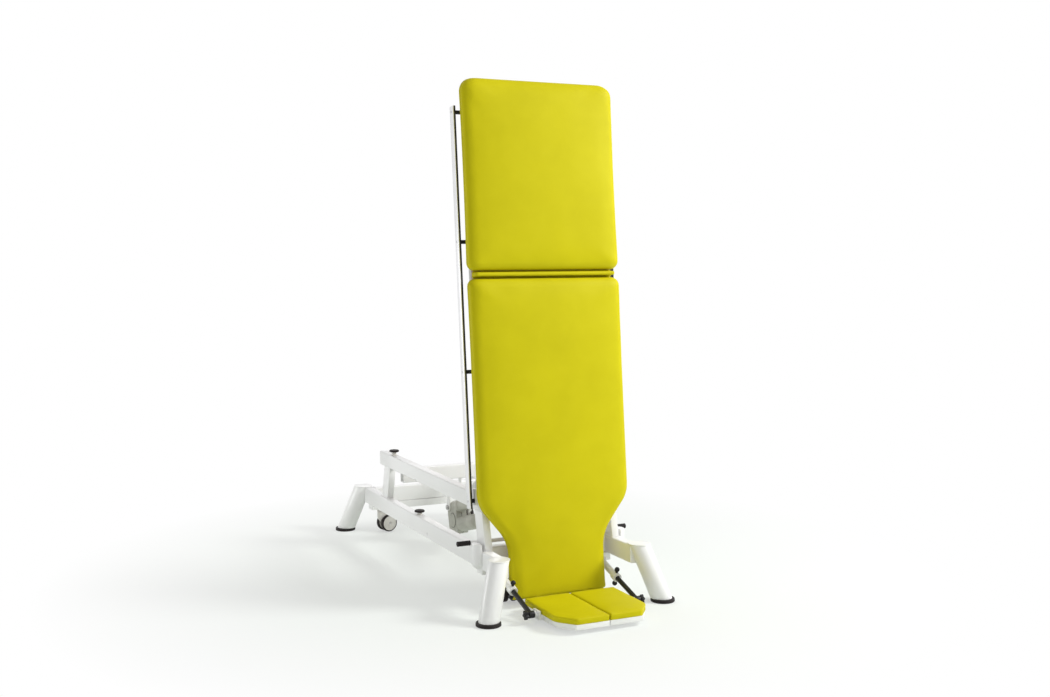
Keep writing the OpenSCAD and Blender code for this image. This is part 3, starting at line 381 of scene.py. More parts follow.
def finish(name):
    """Each material once, made when it is first asked for."""
    if name not in FINISHES:
        s = framework()
        makers = {
            "lime": lime_leather,
            "thread": seam_thread,
            "white": white_paint,
            "rubber": moulded_rubber,
            "plastic": lambda: grained_plastic(
                "black_plastic", s.plastic, (0.020, 0.020, 0.022), 0.36, 0.25),
            "housing": lambda: grained_plastic(
                "drive_plastic", [0.93 * c for c in s.housing], s.housing, 0.42),
            "hub": lambda: grained_plastic("castor_hub", [0.93 * c for c in s.hub], s.hub, 0.44),
            "steel": lambda: brushed_metal(
                "ground_steel", s.steel, (120.0, 2400.0, 2400.0), (0, 0, 0), 0.20),
            "aluminium": lambda: brushed_metal(
                "drawn_aluminium", s.aluminium, (700.0, 700.0, 12.0), (LEAN, 0, 0), 0.20),
            "chrome": chrome_plate,
            "plywood": plywood,
        }
        FINISHES[name] = makers[name]()
    return FINISHES[name]


# ---------------------------------------------------------------- mesh building


def coated(mesh, name):
    mesh.materials.append(finish(name))
    return mesh


def keep(name, mesh, body, material, angle=32.0, node=None):
    """A finished mesh becomes a piece that rides on a body, and may stand for a node."""
    mesh.name = name
    if material:
        mesh.materials.clear()
        coated(mesh, material)
    mesh.polygons.foreach_set("use_smooth", [True] * len(mesh.polygons))
    mesh.set_sharp_from_angle(angle=math.radians(angle))
    piece = bpy.data.objects.new(name, mesh)
    bpy.context.scene.collection.objects.link(piece)
    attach(piece, body)
    if node:
        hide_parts(node)
    return piece


def as_mesh(bm, matrix=None, outward=True):
    if matrix is not None:
        bmesh.ops.transform(bm, matrix=matrix, verts=bm.verts)
    if outward:
        bmesh.ops.recalc_face_normals(bm, faces=bm.faces)
    mesh = bpy.data.meshes.new("part")
    bm.to_mesh(mesh)
    bm.free()
    return mesh


def joined(meshes):
    """Several meshes as one, keeping each one's materials."""
    materials = []
    bm = bmesh.new()
    for mesh in meshes:
        start = len(bm.faces)
        bm.from_mesh(mesh)
        bm.faces.ensure_lookup_table()
        index = []
        for m in mesh.materials:
            if m not in materials:
                materials.append(m)
            index.append(materials.index(m))
        for face in bm.faces[start:]:
            face.material_index = index[face.material_index] if index else 0
    out = bpy.data.meshes.new("joined")
    bm.to_mesh(out)
    bm.free()
    for m in materials:
        out.materials.append(m)
    return out


def rounded_copy(node, radius, segments=2):
    """A node's own shape with its triangles merged into whole faces and its edges rounded."""
    bm = bmesh.new()
    bm.from_mesh(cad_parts[node].data)
    bmesh.ops.remove_doubles(bm, verts=bm.verts, dist=2e-6)
    bmesh.ops.dissolve_limit(
        bm, angle_limit=math.radians(0.6), verts=bm.verts, edges=bm.edges)
    sharp = [e for e in bm.edges
             if len(e.link_faces) == 2 and e.calc_face_angle(0.0) > math.radians(34)]
    bmesh.ops.bevel(bm, geom=sharp, offset=radius, segments=segments, profile=0.5,
                    affect="EDGES", clamp_overlap=True)
    return as_mesh(bm, outward=False)


def dressed(node, body, material, radius=None, segments=2):
    """A node with rounded edges and its finish, standing for the node."""
    mesh = rounded_copy(node, framework().edge if radius is None else radius, segments)
    keep(node + "_finished", mesh, body, material, node=node)


def skinned(bm, rings, ends=True):
    """Faces between rings of vertices that follow each other, and over both ends."""
    n = len(rings[0])
    for a, b in zip(rings, rings[1:]):
        for i in range(n):
            j = (i + 1) % n
            bm.faces.new([a[i], a[j], b[j], b[i]])
    if ends:
        bm.faces.new(rings[0])
        bm.faces.new(rings[-1][::-1])
    bmesh.ops.recalc_face_normals(bm, faces=bm.faces)


def lathe(profile, matrix, steps=64, closed=False):
    """Turns (radius, height) points about Z."""
    bm = bmesh.new()
    rings = []
    for r, h in profile:
        if r < 1e-9:
            rings.append([bm.verts.new((0, 0, h))])
        else:
            rings.append([bm.verts.new((r * math.cos(a), r * math.sin(a), h))
                          for a in (2 * math.pi * i / steps for i in range(steps))])
    pairs = list(zip(rings, rings[1:])) + ([(rings[-1], rings[0])] if closed else [])
    for low, high in pairs:
        for i in range(steps):
            j = (i + 1) % steps
            quad = [low[i % len(low)], low[j % len(low)], high[j % len(high)], high[i % len(high)]]
            corner = []
            for v in quad:
                if v not in corner:
                    corner.append(v)
            if len(corner) > 2:
                bm.faces.new(corner)
    return as_mesh(bm, matrix)


def rounded_profile(points, radius, steps=4):
    """A profile whose inner corners are replaced by small arcs."""
    out = [points[0]]
    for a, b, c in zip(points, points[1:], points[2:]):
        p, q, r = Vector(a), Vector(b), Vector(c)
        u, v = (p - q), (r - q)
        reach = min(radius, 0.45 * u.length, 0.45 * v.length)
        u.normalize()
        v.normalize()
        for i in range(steps + 1):
            t = i / steps
            w = (1 - t) ** 2 * (q + u * reach) + 2 * t * (1 - t) * q + t ** 2 * (q + v * reach)
            out.append((w.x, w.y))
    out.append(points[-1])
    return out


def slab(outline, low, high, matrix, bevel=0.0, segments=3):
    """A closed outline in X and Y raised along Z, with rounded rims."""
    bm = bmesh.new()
    skinned(bm, [[bm.verts.new((x, y, z)) for x, y in outline] for z in (low, high)])
    if bevel:
        rim = [e for e in bm.edges if abs(e.verts[0].co.z - e.verts[1].co.z) < 1e-9]
        bmesh.ops.bevel(bm, geom=rim, offset=bevel, segments=segments, profile=0.5,
                        affect="EDGES", clamp_overlap=True)
    return as_mesh(bm, matrix)


def rounded_outline(corners, radius, steps=6):
    """A polygon whose corners are rounded."""
    out = []
    n = len(corners)
    for i in range(n):
        p, q, r = (Vector(corners[(i + k) % n]) for k in (-1, 0, 1))
        u, v = (p - q), (r - q)
        half = u.angle(v) / 2
        reach = min(radius / math.tan(half), 0.48 * u.length, 0.48 * v.length)
        real = reach * math.tan(half)
        centre = q + (u.normalized() + v.normalized()).normalized() * (real / math.sin(half))
        start = q + u.normalized() * reach - centre
        end = q + v.normalized() * reach - centre
        total = start.angle_signed(end)
        for k in range(steps + 1):
            w = Matrix.Rotation(-total * k / steps, 2) @ start
            out.append((centre.x + w.x, centre.y + w.y))
    return out


def tube_along(points, radius, matrix, sides=12, ends=True):
    """A round tube through points."""
    bm = bmesh.new()
    pts = [Vector(p) for p in points]
    side = Vector((0, 0, 1))
    rings = []
    for i, p in enumerate(pts):
        ahead = (pts[min(i + 1, len(pts) - 1)] - pts[max(i - 1, 0)]).normalized()
        side = (side - ahead * side.dot(ahead))
        if side.length < 1e-4:
            side = ahead.orthogonal()
        side.normalize()
        up = ahead.cross(side)
        rings.append([bm.verts.new(p + radius * (math.cos(a) * side + math.sin(a) * up))
                      for a in (2 * math.pi * k / sides for k in range(sides))])
    skinned(bm, rings, ends)
    return as_mesh(bm, matrix)


# ---------------------------------------------------------------- geometry nodes

class Growth(NodeTree):
    """One geometry nodes tree that places copies of a bit."""

    def __init__(self, name, inputs):
        super().__init__(bpy.data.node_groups.new(name, "GeometryNodeTree"))
        face = self.tree.interface
        for way in ("INPUT", "OUTPUT"):
            face.new_socket("Geometry", in_out=way, socket_type="NodeSocketGeometry")
        self.keys = {}
        for label, kind, value in inputs:
            socket = face.new_socket(label, in_out="INPUT", socket_type=kind)
            if value is not None:
                socket.default_value = value
            self.keys[label] = socket.identifier
        self.node("NodeGroupInput")
        self.start = self.made

    def given(self, label):
        return Sock(self, self.start.outputs[label])

    def close(self, geometry):
        whole = self.node("GeometryNodeRealizeInstances", Geometry=geometry)
        done = self.node("GeometryNodeSetMaterial", Geometry=whole, Material=self.given("Material"))
        self.node("NodeGroupOutput", None, done)
        return self


def path_tree():
    """Copies of a small shape along every edge path, evenly spaced and turned along it."""
    g = Growth("copies_along_path", [
        ("Bit", "NodeSocketObject", None),
        ("Spacing", "NodeSocketFloat", 0.004),
        ("Size variation", "NodeSocketFloat", 0.0),
        ("Seed", "NodeSocketInt", 3),
        ("Material", "NodeSocketMaterial", None),
    ])
    line = g.node("GeometryNodeMeshToCurve", Mesh=g.given("Geometry"))
    even = g.node("GeometryNodeResampleCurve", {"mode": "LENGTH"}, Curve=line,
                  Length=g.given("Spacing"))
    ahead = g.node("GeometryNodeInputTangent")
    turned = g.node("FunctionNodeAlignRotationToVector", {"axis": "X"}, Vector=ahead)
    bit = g.node("GeometryNodeObjectInfo", out="Geometry", Object=g.given("Bit"))
    size = g.node("FunctionNodeRandomValue", {"data_type": "FLOAT"}, None, None,
                  1.0 - g.given("Size variation"), 1.0, out=1, Seed=g.given("Seed"))
    return g.close(g.node("GeometryNodeInstanceOnPoints", Points=even, Instance=bit,
                          Rotation=turned, Scale=size))


def point_tree():
    """Copies of a small shape at every vertex, with their Z along the stored direction."""
    g = Growth("copies_at_points", [
        ("Bit", "NodeSocketObject", None),
        ("Seed", "NodeSocketInt", 5),
        ("Material", "NodeSocketMaterial", None),
    ])
    aim = g.node("GeometryNodeInputNamedAttribute", {"data_type": "FLOAT_VECTOR"}, Name="aim")
    turned = g.node("FunctionNodeAlignRotationToVector", {"axis": "Z"}, Vector=aim)
    spin = g.node("FunctionNodeRandomValue", {"data_type": "FLOAT"}, None, None, 0.0, math.pi,
                  out=1, Seed=g.given("Seed"))
    own = g.node("FunctionNodeAxisAngleToRotation", Axis=(0.0, 0.0, 1.0), Angle=spin)
    both = g.node("FunctionNodeRotateRotation", {"rotation_space": "LOCAL"}, turned, own)
    bit = g.node("GeometryNodeObjectInfo", out="Geometry", Object=g.given("Bit"))
    return g.close(g.node("GeometryNodeInstanceOnPoints", Points=g.given("Geometry"),
                          Instance=bit, Rotation=both))


TREES = {}


def grown(kind, seed_mesh, bit_mesh, **values):
    """Runs a tree on a mesh and returns the result as a plain mesh."""
    if kind not in TREES:
        TREES[kind] = path_tree() if kind == "path" else point_tree()
    growth = TREES[kind]
    holder = bpy.data.objects.new("growing", seed_mesh)
    bit = bpy.data.objects.new("bit", bit_mesh)
    for o in (holder, bit):
        bpy.context.scene.collection.objects.link(o)
    modifier = holder.modifiers.new("grow", "NODES")
    modifier.node_group = growth.tree
    modifier[growth.keys["Bit"]] = bit
    for label, value in values.items():
        modifier[growth.keys[label.replace("_", " ")]] = value
    holder.update_tag()
    bpy.context.view_layer.update()
    graph = bpy.context.evaluated_depsgraph_get()
    mesh = bpy.data.meshes.new_from_object(holder.evaluated_get(graph))
    holder.modifiers.remove(modifier)
    for o in (holder, bit):
        data = o.data
        bpy.data.objects.remove(o)
        bpy.data.meshes.remove(data)
    return mesh


def path_mesh(paths, matrix, closed=False):
    """Edges along each path, for a tree to follow."""
    bm = bmesh.new()
    for path in paths:
        verts = [bm.verts.new(p) for p in path]
        for pair in zip(verts, verts[1:] + verts[:1] if closed else verts[1:]):
            bm.edges.new(pair)
    return as_mesh(bm, matrix, outward=False)


def screws(name, body, spots, radius, height, seed):
    """Cap screws, one for each place and the way its head faces."""
    mesh = bpy.data.meshes.new("points")
    mesh.from_pydata([where for where, way in spots], [], [])
    aim = mesh.attributes.new("aim", "FLOAT_VECTOR", "POINT")
    for i, (where, way) in enumerate(spots):
        aim.data[i].vector = way
    mesh = grown("point", mesh, socket_screw_bit(radius, height), Seed=seed,
                 Material=finish("steel"))
    keep(name, mesh, body, None)


def stitch_bit(span, thick):
    """One stitch: a short thread that dips at both ends."""
    pts = [(-span / 2, 0, -thick * 0.7), (-span * 0.3, 0, thick * 0.2), (0, 0, thick * 0.45),
           (span * 0.3, 0, thick * 0.2), (span / 2, 0, -thick * 0.7)]
    return tube_along(pts, thick / 2, Matrix.Identity(4), sides=6)


def weld_bit(width):
    """One ripple of a weld bead."""
    bm = bmesh.new()
    bmesh.ops.create_uvsphere(bm, u_segments=10, v_segments=6, radius=width / 2)
    for v in bm.verts:
        v.co.x *= 0.62
    return as_mesh(bm)


def socket_screw_bit(radius, height):
    """Cap screw with a hexagon socket."""
    steps = 24
    hexagon = radius * 0.52
    profile = rounded_profile(
        [(radius, -height * 0.3), (radius, height), (hexagon * 1.16, height)], radius * 0.16, 3)
    mesh = lathe(profile, Matrix.Identity(4), steps)
    bm = bmesh.new()
    bm.from_mesh(mesh)
    bm.verts.ensure_lookup_table()
    rim = [v for v in bm.verts if abs(v.co.z - height) < 1e-7
           and abs(v.co.xy.length - hexagon * 1.16) < 1e-6]
    rim.sort(key=lambda v: math.atan2(v.co.y, v.co.x))
    top, low = [], []
    for i in range(steps):
        a = math.atan2(rim[i].co.y, rim[i].co.x)
        k = hexagon / math.cos((a % (math.pi / 3)) - math.pi / 6)
        top.append(bm.verts.new((k * math.cos(a), k * math.sin(a), height)))
        low.append(bm.verts.new((k * math.cos(a), k * math.sin(a), height * 0.35)))
    for i in range(steps):
        j = (i + 1) % steps
        bm.faces.new([rim[i], rim[j], top[j], top[i]])
        bm.faces.new([top[i], top[j], low[j], low[i]])
    bm.faces.new(low)
    return as_mesh(bm)


# ---------------------------------------------------------------- cushions

BED = dict(w=624.0, neck=392.0, low=146.0, mid=212.0, high=354.0, shoulder=110.0, neck_r=150.0,
           lower=1180.0, upper=705.0, below=433.0, gap=28.0, back=-32.0, t=46.0)
SLOPE = math.atan2(BED["w"] / 2 - BED["neck"] / 2, BED["high"] - BED["mid"])


def cut_corner(r, d):
    return 0.0 if d >= r else r - math.sqrt(max(0.0, r * r - (r - d) ** 2))


def bed_half(z):
    b = BED
    nt = b["neck_r"] * math.tan(SLOPE / 2)
    st = b["shoulder"] * math.tan(SLOPE / 2)
    if z <= b["mid"] - nt:
        return b["neck"] / 2
    if z <= b["mid"] + nt * math.cos(SLOPE):
        return b["neck"] / 2 + b["neck_r"] - math.sqrt(
            b["neck_r"] ** 2 - (z - b["mid"] + nt) ** 2)
    if z <= b["high"] - st * math.cos(SLOPE):
        return b["neck"] / 2 + (z - b["mid"]) * math.tan(SLOPE)
    if z <= b["high"] + st:
        return b["w"] / 2 - b["shoulder"] + math.sqrt(
            b["shoulder"] ** 2 - (b["high"] + st - z) ** 2)
    return b["w"] / 2


def lower_half(z):
    pull = 3.0 * (1 - ((2 * z - BED["lower"]) / BED["lower"]) ** 2)
    return bed_half(z) - pull - cut_corner(13, z) - cut_corner(30, BED["lower"] - z)


def upper_half(z):
    pull = 3.0 * (1 - ((2 * z - BED["upper"]) / BED["upper"]) ** 2)
    return BED["w"] / 2 - pull - cut_corner(30, z) - cut_corner(52, BED["upper"] - z)


def spaced(lo, hi, step, fine):
    """Places from lo to hi, close together near both ends."""
    ends = [fine * (1 - math.cos(math.radians(a))) for a in (0, 14, 26, 38, 50, 62, 75, 90)]
    n = max(2, int((hi - lo - 2 * fine) / step))
    mid = [lo + fine + (hi - lo - 2 * fine) * i / n for i in range(1, n)]
    return [lo + e for e in ends] + mid + [hi - e for e in reversed(ends)]


def pad_section(left, right, back, face, crown, rf, rb, roll, across=26):
    """Closed outline of one cross-section: X across, Y outwards from the back."""
    pts = []
    for side, x in ((1, right), (-1, left)):
        run = [(x + side * (rb * math.sin(a) - rb), back + rb * (1 - math.cos(a)))
               for a in (math.radians(18 * i) for i in range(6))]
        wall = face - rf - back - rb
        run += [(x - side * 1.2 * math.sin(math.pi * k / 4), back + rb + wall * k / 4)
                for k in (1, 2, 3)]
        run += [(x + side * rf * roll * (math.cos(a) - 1), face - rf + rf * math.sin(a))
                for a in (math.radians(11.25 * i) for i in range(9))]
        pts.append(run)
    x1, x0 = pts[0][-1][0], pts[1][-1][0]
    top = []
    for i in range(1, across):
        u = i / across
        v = abs(2 * u - 1)
        top.append((x1 + (x0 - x1) * u, face + crown * (1 - v ** 2.4)))
    floor = [(left + rb + (right - left - 2 * rb) * i / 8, back) for i in range(1, 8)]
    return pts[0] + top + pts[1][::-1] + floor


def pad_mesh(places, left, right, thickness, crown, radius, lo, hi, end_radius):
    """Lofts a cushion along Z from its back plane at Y 0 towards +Y, in millimetres."""
    bm = bmesh.new()
    rings = []
    roll = 1.9 if radius > 10 else 1.25
    for z in places:
        d = min(z - lo, hi - z)
        u = (2 * z - lo - hi) / (hi - lo)
        rb = min(6.0, thickness * 0.16)
        face = thickness - (cut_corner(end_radius, d) if end_radius and z - lo < hi - z
                            else cut_corner(radius, d / (roll - 0.25)))
        back = cut_corner(rb, d)
        rf = min(radius, (face - back) * 0.6)
        ring = pad_section(left(z), right(z), back, face, crown * (1 - 0.97 * abs(u) ** 4.5),
                           rf, min(rb, (face - back) * 0.3), roll)
        rings.append([bm.verts.new((x, y, z)) for x, y in ring])
    skinned(bm, rings)
    return bm


def inflated(skin, voxel, swell, frames=20, near=24):
    """Blows a remeshed copy of a closed pad up with cloth and lets the pad's skin follow it."""
    pad = bpy.data.objects.new("inflating", skin)
    scene = bpy.context.scene
    scene.collection.objects.link(pad)
    remesh = pad.modifiers.new("voxels", "REMESH")
    remesh.mode = "VOXEL"
    remesh.voxel_size = voxel
    bpy.context.view_layer.update()
    graph = bpy.context.evaluated_depsgraph_get()
    fine = bpy.data.meshes.new_from_object(pad.evaluated_get(graph))
    pad.modifiers.remove(remesh)
    pad.data = fine
    start = [v.co.copy() for v in fine.vertices]
    held = pad.vertex_groups.new(name="held")
    for i, co in enumerate(start):
        if co.y < 0.010:
            held.add([i], 1.0 if co.y < 0.005 else 0.4, "REPLACE")
    cloth = pad.modifiers.new("skin", "CLOTH")
    for key, value in dict(
            quality=4, mass=0.3, tension_stiffness=40, compression_stiffness=40,
            shear_stiffness=12, bending_stiffness=6, use_pressure=True,
            uniform_pressure_force=upholstery().pressure, vertex_group_mass="held").items():
        setattr(cloth.settings, key, value)
    cloth.settings.effector_weights.gravity = 0.0
    cloth.collision_settings.use_collision = False
    cloth.point_cache.frame_start = 1
    cloth.point_cache.frame_end = frames
    for f in range(1, frames + 1):
        scene.frame_set(f)
    graph = bpy.context.evaluated_depsgraph_get()
    blown = bpy.data.meshes.new_from_object(pad.evaluated_get(graph))
    moves = []
    places = KDTree(len(start))
    for i, before in enumerate(start):
        move = blown.vertices[i].co - before
        moves.append(move * min(1.0, swell / max(move.length, 1e-9)))
        places.insert(before, i)
    places.balance()
    for v in skin.vertices:
        found = places.find_n(v.co, near)
        v.co += sum((moves[i] for _, i, _ in found), Vector()) / len(found)
    scene.frame_set(1)
    bpy.data.objects.remove(pad)
    bpy.data.meshes.remove(fine)
    bpy.data.meshes.remove(blown)
    return skin


def puckered(mesh, outline, seam_y, depth):
    """Draws the skin in at the seam and adds the small gathers beside it, in millimetres."""
    for v in mesh.vertices:
        p = v.co
        near = math.exp(-((p.y - seam_y) / 2.8) ** 2)
        ripple = noise.noise(Vector((p.x * 0.045, p.y * 0.05, p.z * 0.045)))
        wave = noise.noise(Vector((p.x * 0.011, 7.0, p.z * 0.011)))
        if near > 0.03:
            edge = outline(p.x, p.z)
            if edge < 9:
                way = Vector((outline(p.x + 0.5, p.z) - edge, 0, outline(p.x, p.z + 0.5) - edge))
                if way.length > 1e-6:
                    p += way.normalized() * (depth * near * (1.0 + 0.6 * ripple))
        if p.y > seam_y + 6:
            p.y += 0.9 * wave + 0.22 * ripple
        v.co = p


def refitted(mesh, low, high):
    """Scales a mesh across and along so that its box spans low to high again, in X and Z."""
    for axis in (0, 2):
        found = [v.co[axis] for v in mesh.vertices]
        least, most = min(found), max(found)
        grow = (high[axis] - low[axis]) / (most - least)
        for v in mesh.vertices:
            v.co[axis] = low[axis] + (v.co[axis] - least) * grow


def cushion(name, body, node, matrix, places, half_left, half_right, t, crown, radius, lo, hi,
            voxel, seam_y, end_radius=None):
    """One cushion with its sewn side seam, inflated with cloth."""
    s = upholstery()
    firm = radius < 10
    puff = 0.35 if firm else 1.0
    less = puff * s.shrink / MM
    bm = pad_mesh(places, lambda z: half_left(z) + less, lambda z: half_right(z) - less,
                  t - less, crown, radius, lo, hi, end_radius)
    own = Matrix.Scale(MM, 4)
    mesh = inflated(as_mesh(bm, own), voxel, puff * s.swell)
    mesh.transform(own.inverted())
    refitted(mesh, (min(half_left(z) for z in places), 0.0, lo),
             (max(half_right(z) for z in places), 0.0, hi))

    def outline(x, z):
        z = min(max(z, lo), hi)
        return min(half_right(z) - x, x - half_left(z), z - lo, hi - z)

    puckered(mesh, outline, seam_y, 1.1)
    steps = [z for z in places if lo + 4 <= z <= hi - 4]
    dense = []
    for a, b in zip(steps, steps[1:]):
        count = max(1, int((b - a) / 12))
        dense += [a + (b - a) * k / count for k in range(count)]
    dense.append(steps[-1])
    ring = [(half_right(z), seam_y, z) for z in dense]
    ring += [(half_left(z), seam_y, z) for z in reversed(dense)]
    skin = BVHTree.FromPolygons([v.co for v in mesh.vertices],
                                [tuple(f.vertices) for f in mesh.polygons])
    ring = [skin.find_nearest(Vector(p))[0] for p in ring]
    mesh.transform(matrix)
    if matrix.determinant() < 0:
        mesh.flip_normals()
    piece = keep(name, mesh, body, "lime", 60.0, node)
    mesh = grown("path", path_mesh([ring], matrix, closed=True),
                 stitch_bit(s.stitch * 0.72, 0.0008),
                 Spacing=s.stitch, Size_variation=0.12, Seed=11, Material=finish("thread"))
    keep(name.replace("_sewn", "") + "_stitches", mesh, body, None, 60.0)


def strip_mesh():
    """The narrow upholstered strip in the gap between the bed cushions, with its flanges."""
    section = [(-13.4, 0.2), (-13.4, 2.6), (-9.6, 3.6), (-7.9, 6.5), (-7.4, 16.0), (-7.2, 30.0),
               (-6.6, 35.0), (-4.8, 37.6), (-2.5, 38.7), (0.0, 39.0)]
    section += [(-a, b) for a, b in reversed(section[:-1])]
    rings = []
    bm = bmesh.new()
    half, steps = 289, 144
    for i in range(steps + 1):
        x = -half + 2 * half * i / steps
        end = min(x + half, half - x)
        round_off = math.sqrt(max(0.0, 1 - ((8 - min(end, 8)) / 8) ** 2))
        thin = 0.55 + 0.45 * round_off
        sag = 0.45 * noise.noise(Vector((x * 0.021, 0, 3)))
        rings.append([bm.verts.new((x, 0.2 + (b - 0.2) * (0.7 + 0.3 * round_off)
                                    + (sag if b > 12 else 0.0), a * thin + sag * 0.4))
                      for a, b in section])
    skinned(bm, rings)
    return bm


# ---------------------------------------------------------------- operators

class Making:
    """What every operator here has in common."""
    bl_options = {"REGISTER", "UNDO"}


class TILT_OT_stage(Making, bpy.types.Operator):
    """Floor, sky, lamps and the camera"""
    bl_idname = "tilt.stage"
    bl_label = "Stage"

    def execute(self, context):
        s = context.scene.tilt_stage
        scene = context.scene
        scene.view_settings.view_transform = "Standard"
        lens = bpy.data.cameras.new("camera")
        lens.lens = s.lens
        lens.sensor_width = 36.0
        lens.clip_end = 60.0
        camera = bpy.data.objects.new("camera", lens)
        camera.location = s.eye
        camera.rotation_euler = (QUARTER - s.dip, 0.0, -s.turn)
        scene.collection.objects.link(camera)
        scene.camera = camera
        self.sky(scene, s.sky)
        self.floor(scene)
        for name, where, aim, size, power in (
                ("key", (3.9, -2.6, 3.7), (0.0, -0.4, 1.0), 1.8, s.key),
                ("fill", (-0.6, -5.2, 3.4), (0.0, -0.2, 0.6), 3.0, s.fill),
                ("rear", (1.2, 4.2, 3.2), (0.0, 0.2, 0.6), 2.6, s.fill),
                ("side", (-3.2, 1.6, 0.9), (-0.3, 0.9, 0.35), 1.6, s.side)):
            light = bpy.data.lights.new(name, "AREA")
            light.shape = "DISK"
            light.size = size
            light.energy = power
            lamp = bpy.data.objects.new(name, light)
            lamp.location = where
            way = Vector(aim) - Vector(where)
            lamp.rotation_euler = way.to_track_quat("-Z", "Y").to_euler()
            scene.collection.objects.link(lamp)
        return {"FINISHED"}

    def sky(self, scene, strength):
        world = bpy.data.worlds.new("studio")
        scene.world = world
        world.use_nodes = True
        t = NodeTree(world.node_tree)
        even = t.node("ShaderNodeBackground", None, WHITE, strength)
        bright = t.node("ShaderNodeBackground", None, WHITE, 1.0)
        both = t.node("ShaderNodeMixShader", None, t.seen(), even, bright)
        t.node("ShaderNodeOutputWorld", None, both)

    def floor(self, scene):
        bm = bmesh.new()
        bmesh.ops.create_circle(bm, cap_ends=True, radius=30.0, segments=64)
        mesh = as_mesh(bm, Matrix.Translation((0, 0, -0.0004)))
        f = Finish("studio_floor")
        cloud = f.noise(1.4, 2.0)
        f.fill(Base_Color=f.mix(cloud, (0.80, 0.86, 0.79), (0.83, 0.875, 0.82)), Roughness=0.85)
        far = f.node("ShaderNodeVectorMath", {"operation": "LENGTH"}, f.at, out="Value")
        fade = f.span(far, 0.75, 1.8, 0.42, 1.0)
        glow = f.node("ShaderNodeEmission", None, WHITE, 1.0)
        both = f.node("ShaderNodeMixShader", None, f.seen() * fade, f.surface, glow)
        f.put(f.end.inputs[0], both)
        mesh.materials.append(f.material)
        floor = bpy.data.objects.new("floor", mesh)
        scene.collection.objects.link(floor)


class TILT_OT_bed_cushions(Making, bpy.types.Operator):
    """The two bed cushions and the strip between them"""
    bl_idname = "tilt.bed_cushions"
    bl_label = "Bed cushions"

    def execute(self, context):
        crown = upholstery().crown / MM
        split = BED["lower"] - BED["below"]
        for name, node, half, long, low, ends, end_radius in (
                ("lower_cushion", "cushion_lower", lower_half, BED["lower"], -BED["below"],
                 26.0, 12.0),
                ("upper_cushion", "cushion_upper", upper_half, BED["upper"], split + BED["gap"],
                 30.0, None)):
            cushion(name, "bed", node, self.lay(low), spaced(0, long, 9.0, ends),
                    lambda z: -half(z), half, BED["t"], crown, 23.0, 0.0, long,
                    0.0066, 9.0, end_radius)
        mesh = as_mesh(strip_mesh(), self.lay(split + BED["gap"] / 2))
        strip = keep("split_strip", mesh, "bed", "lime", 60, "cushion_strip")
        return {"FINISHED"}

    def lay(self, low):
        """Axes of a pad whose Z starts at low on the bed and whose Y runs out of the board."""
        return bed_matrix() @ slide(0, BED["back"], low) @ Matrix.Scale(-1, 4, (0, 1, 0))


FOOT = dict(front=235.0, rear=69.5, z=36.0, t=22.5)


def foot_outline(y):
    """Half width of a footplate at distance y ahead of the front feet, with eased corners."""
    def raw(v):
        return 186.0 - 56.0 * max(0.0, 1 - (FOOT["front"] - v) / 66.0)
    return sum(raw(min(FOOT["front"], y + k)) for k in (-16, -8, 0, 8, 16)) / 5


class TILT_OT_foot_cushions(Making, bpy.types.Operator):
    """The cushions on the two footplates"""
    bl_idname = "tilt.foot_cushions"
    bl_label = "Foot cushions"

    def execute(self, context):
        front, rear = FOOT["front"], -FOOT["rear"]
        for side, sign in SIDES:
            matrix = stand(0, 0, FOOT["z"]) @ swing(QUARTER, "X")
            matrix = matrix @ Matrix.Scale(sign, 4, (1, 0, 0))
            cushion("foot_cushion_" + side + "_sewn", "foot_plate_" + side,
                    "foot_cushion_" + side, matrix, spaced(rear, front, 6.0, 12.0),
                    lambda z: 1.7 + cut_corner(1.5, z - rear) + cut_corner(5, front - z),
                    lambda z: (foot_outline(z) - 1.8 - cut_corner(7, z - rear)
                               - cut_corner(12, front - z)),
                    FOOT["t"], 4.2, 5.5, rear, front, 0.0040, 4.2)
        return {"FINISHED"}


class TILT_OT_frame(Making, bpy.types.Operator):
    """Painted tubes, rails, uprights and plates of the base and the bed"""
    bl_idname = "tilt.frame"
    bl_label = "Painted frame"

    def execute(self, context):
        for body, nodes in (
                ("base", ("side_rail_left", "side_rail_right", "cross_bars", "front_legs",
                          "rear_legs", "end_caps", "front_uprights", "rear_uprights",
                          "upright_sockets", "upper_beam_left", "upper_beam_right",
                          "upper_cross_bar", "tilt_brackets", "drive_bracket")),
                ("bed", ("bed_tube_left", "bed_tube_right", "bed_cross_tubes", "neck_tubes",
                         "foot_hinge_arms", "drive_lugs"))):
            for node in nodes:
                dressed(node, body, "white")
        for side, _ in SIDES:
            dressed("footplate_" + side, "foot_plate_" + side, "white", 0.0022, 3)
        dressed("castor_beams", "castor_lift", "white", 0.0016, 3)
        dressed("bed_board", "bed", "plywood", 0.0010)
        dressed("pivot_pins", "base", "steel", 0.0010)
        dressed("tilt_bushes", "bed", "steel", 0.0006)
        dressed("foot_shafts", "bed", "steel", 0.0010)
        return {"FINISHED"}


def box_ring(axis, level, cx, cy, w, h, gap=0.0):
    """A rounded loop round a box tube, in the plane at level across an axis."""
    w, h = w / 2 + gap, h / 2 + gap
    loop = rounded_outline([(cx - w, cy - h), (cx + w, cy - h), (cx + w, cy + h), (cx - w, cy + h)],
                           6.0, 4)
    return [(*p[:axis], level, *p[axis:]) for p in loop]


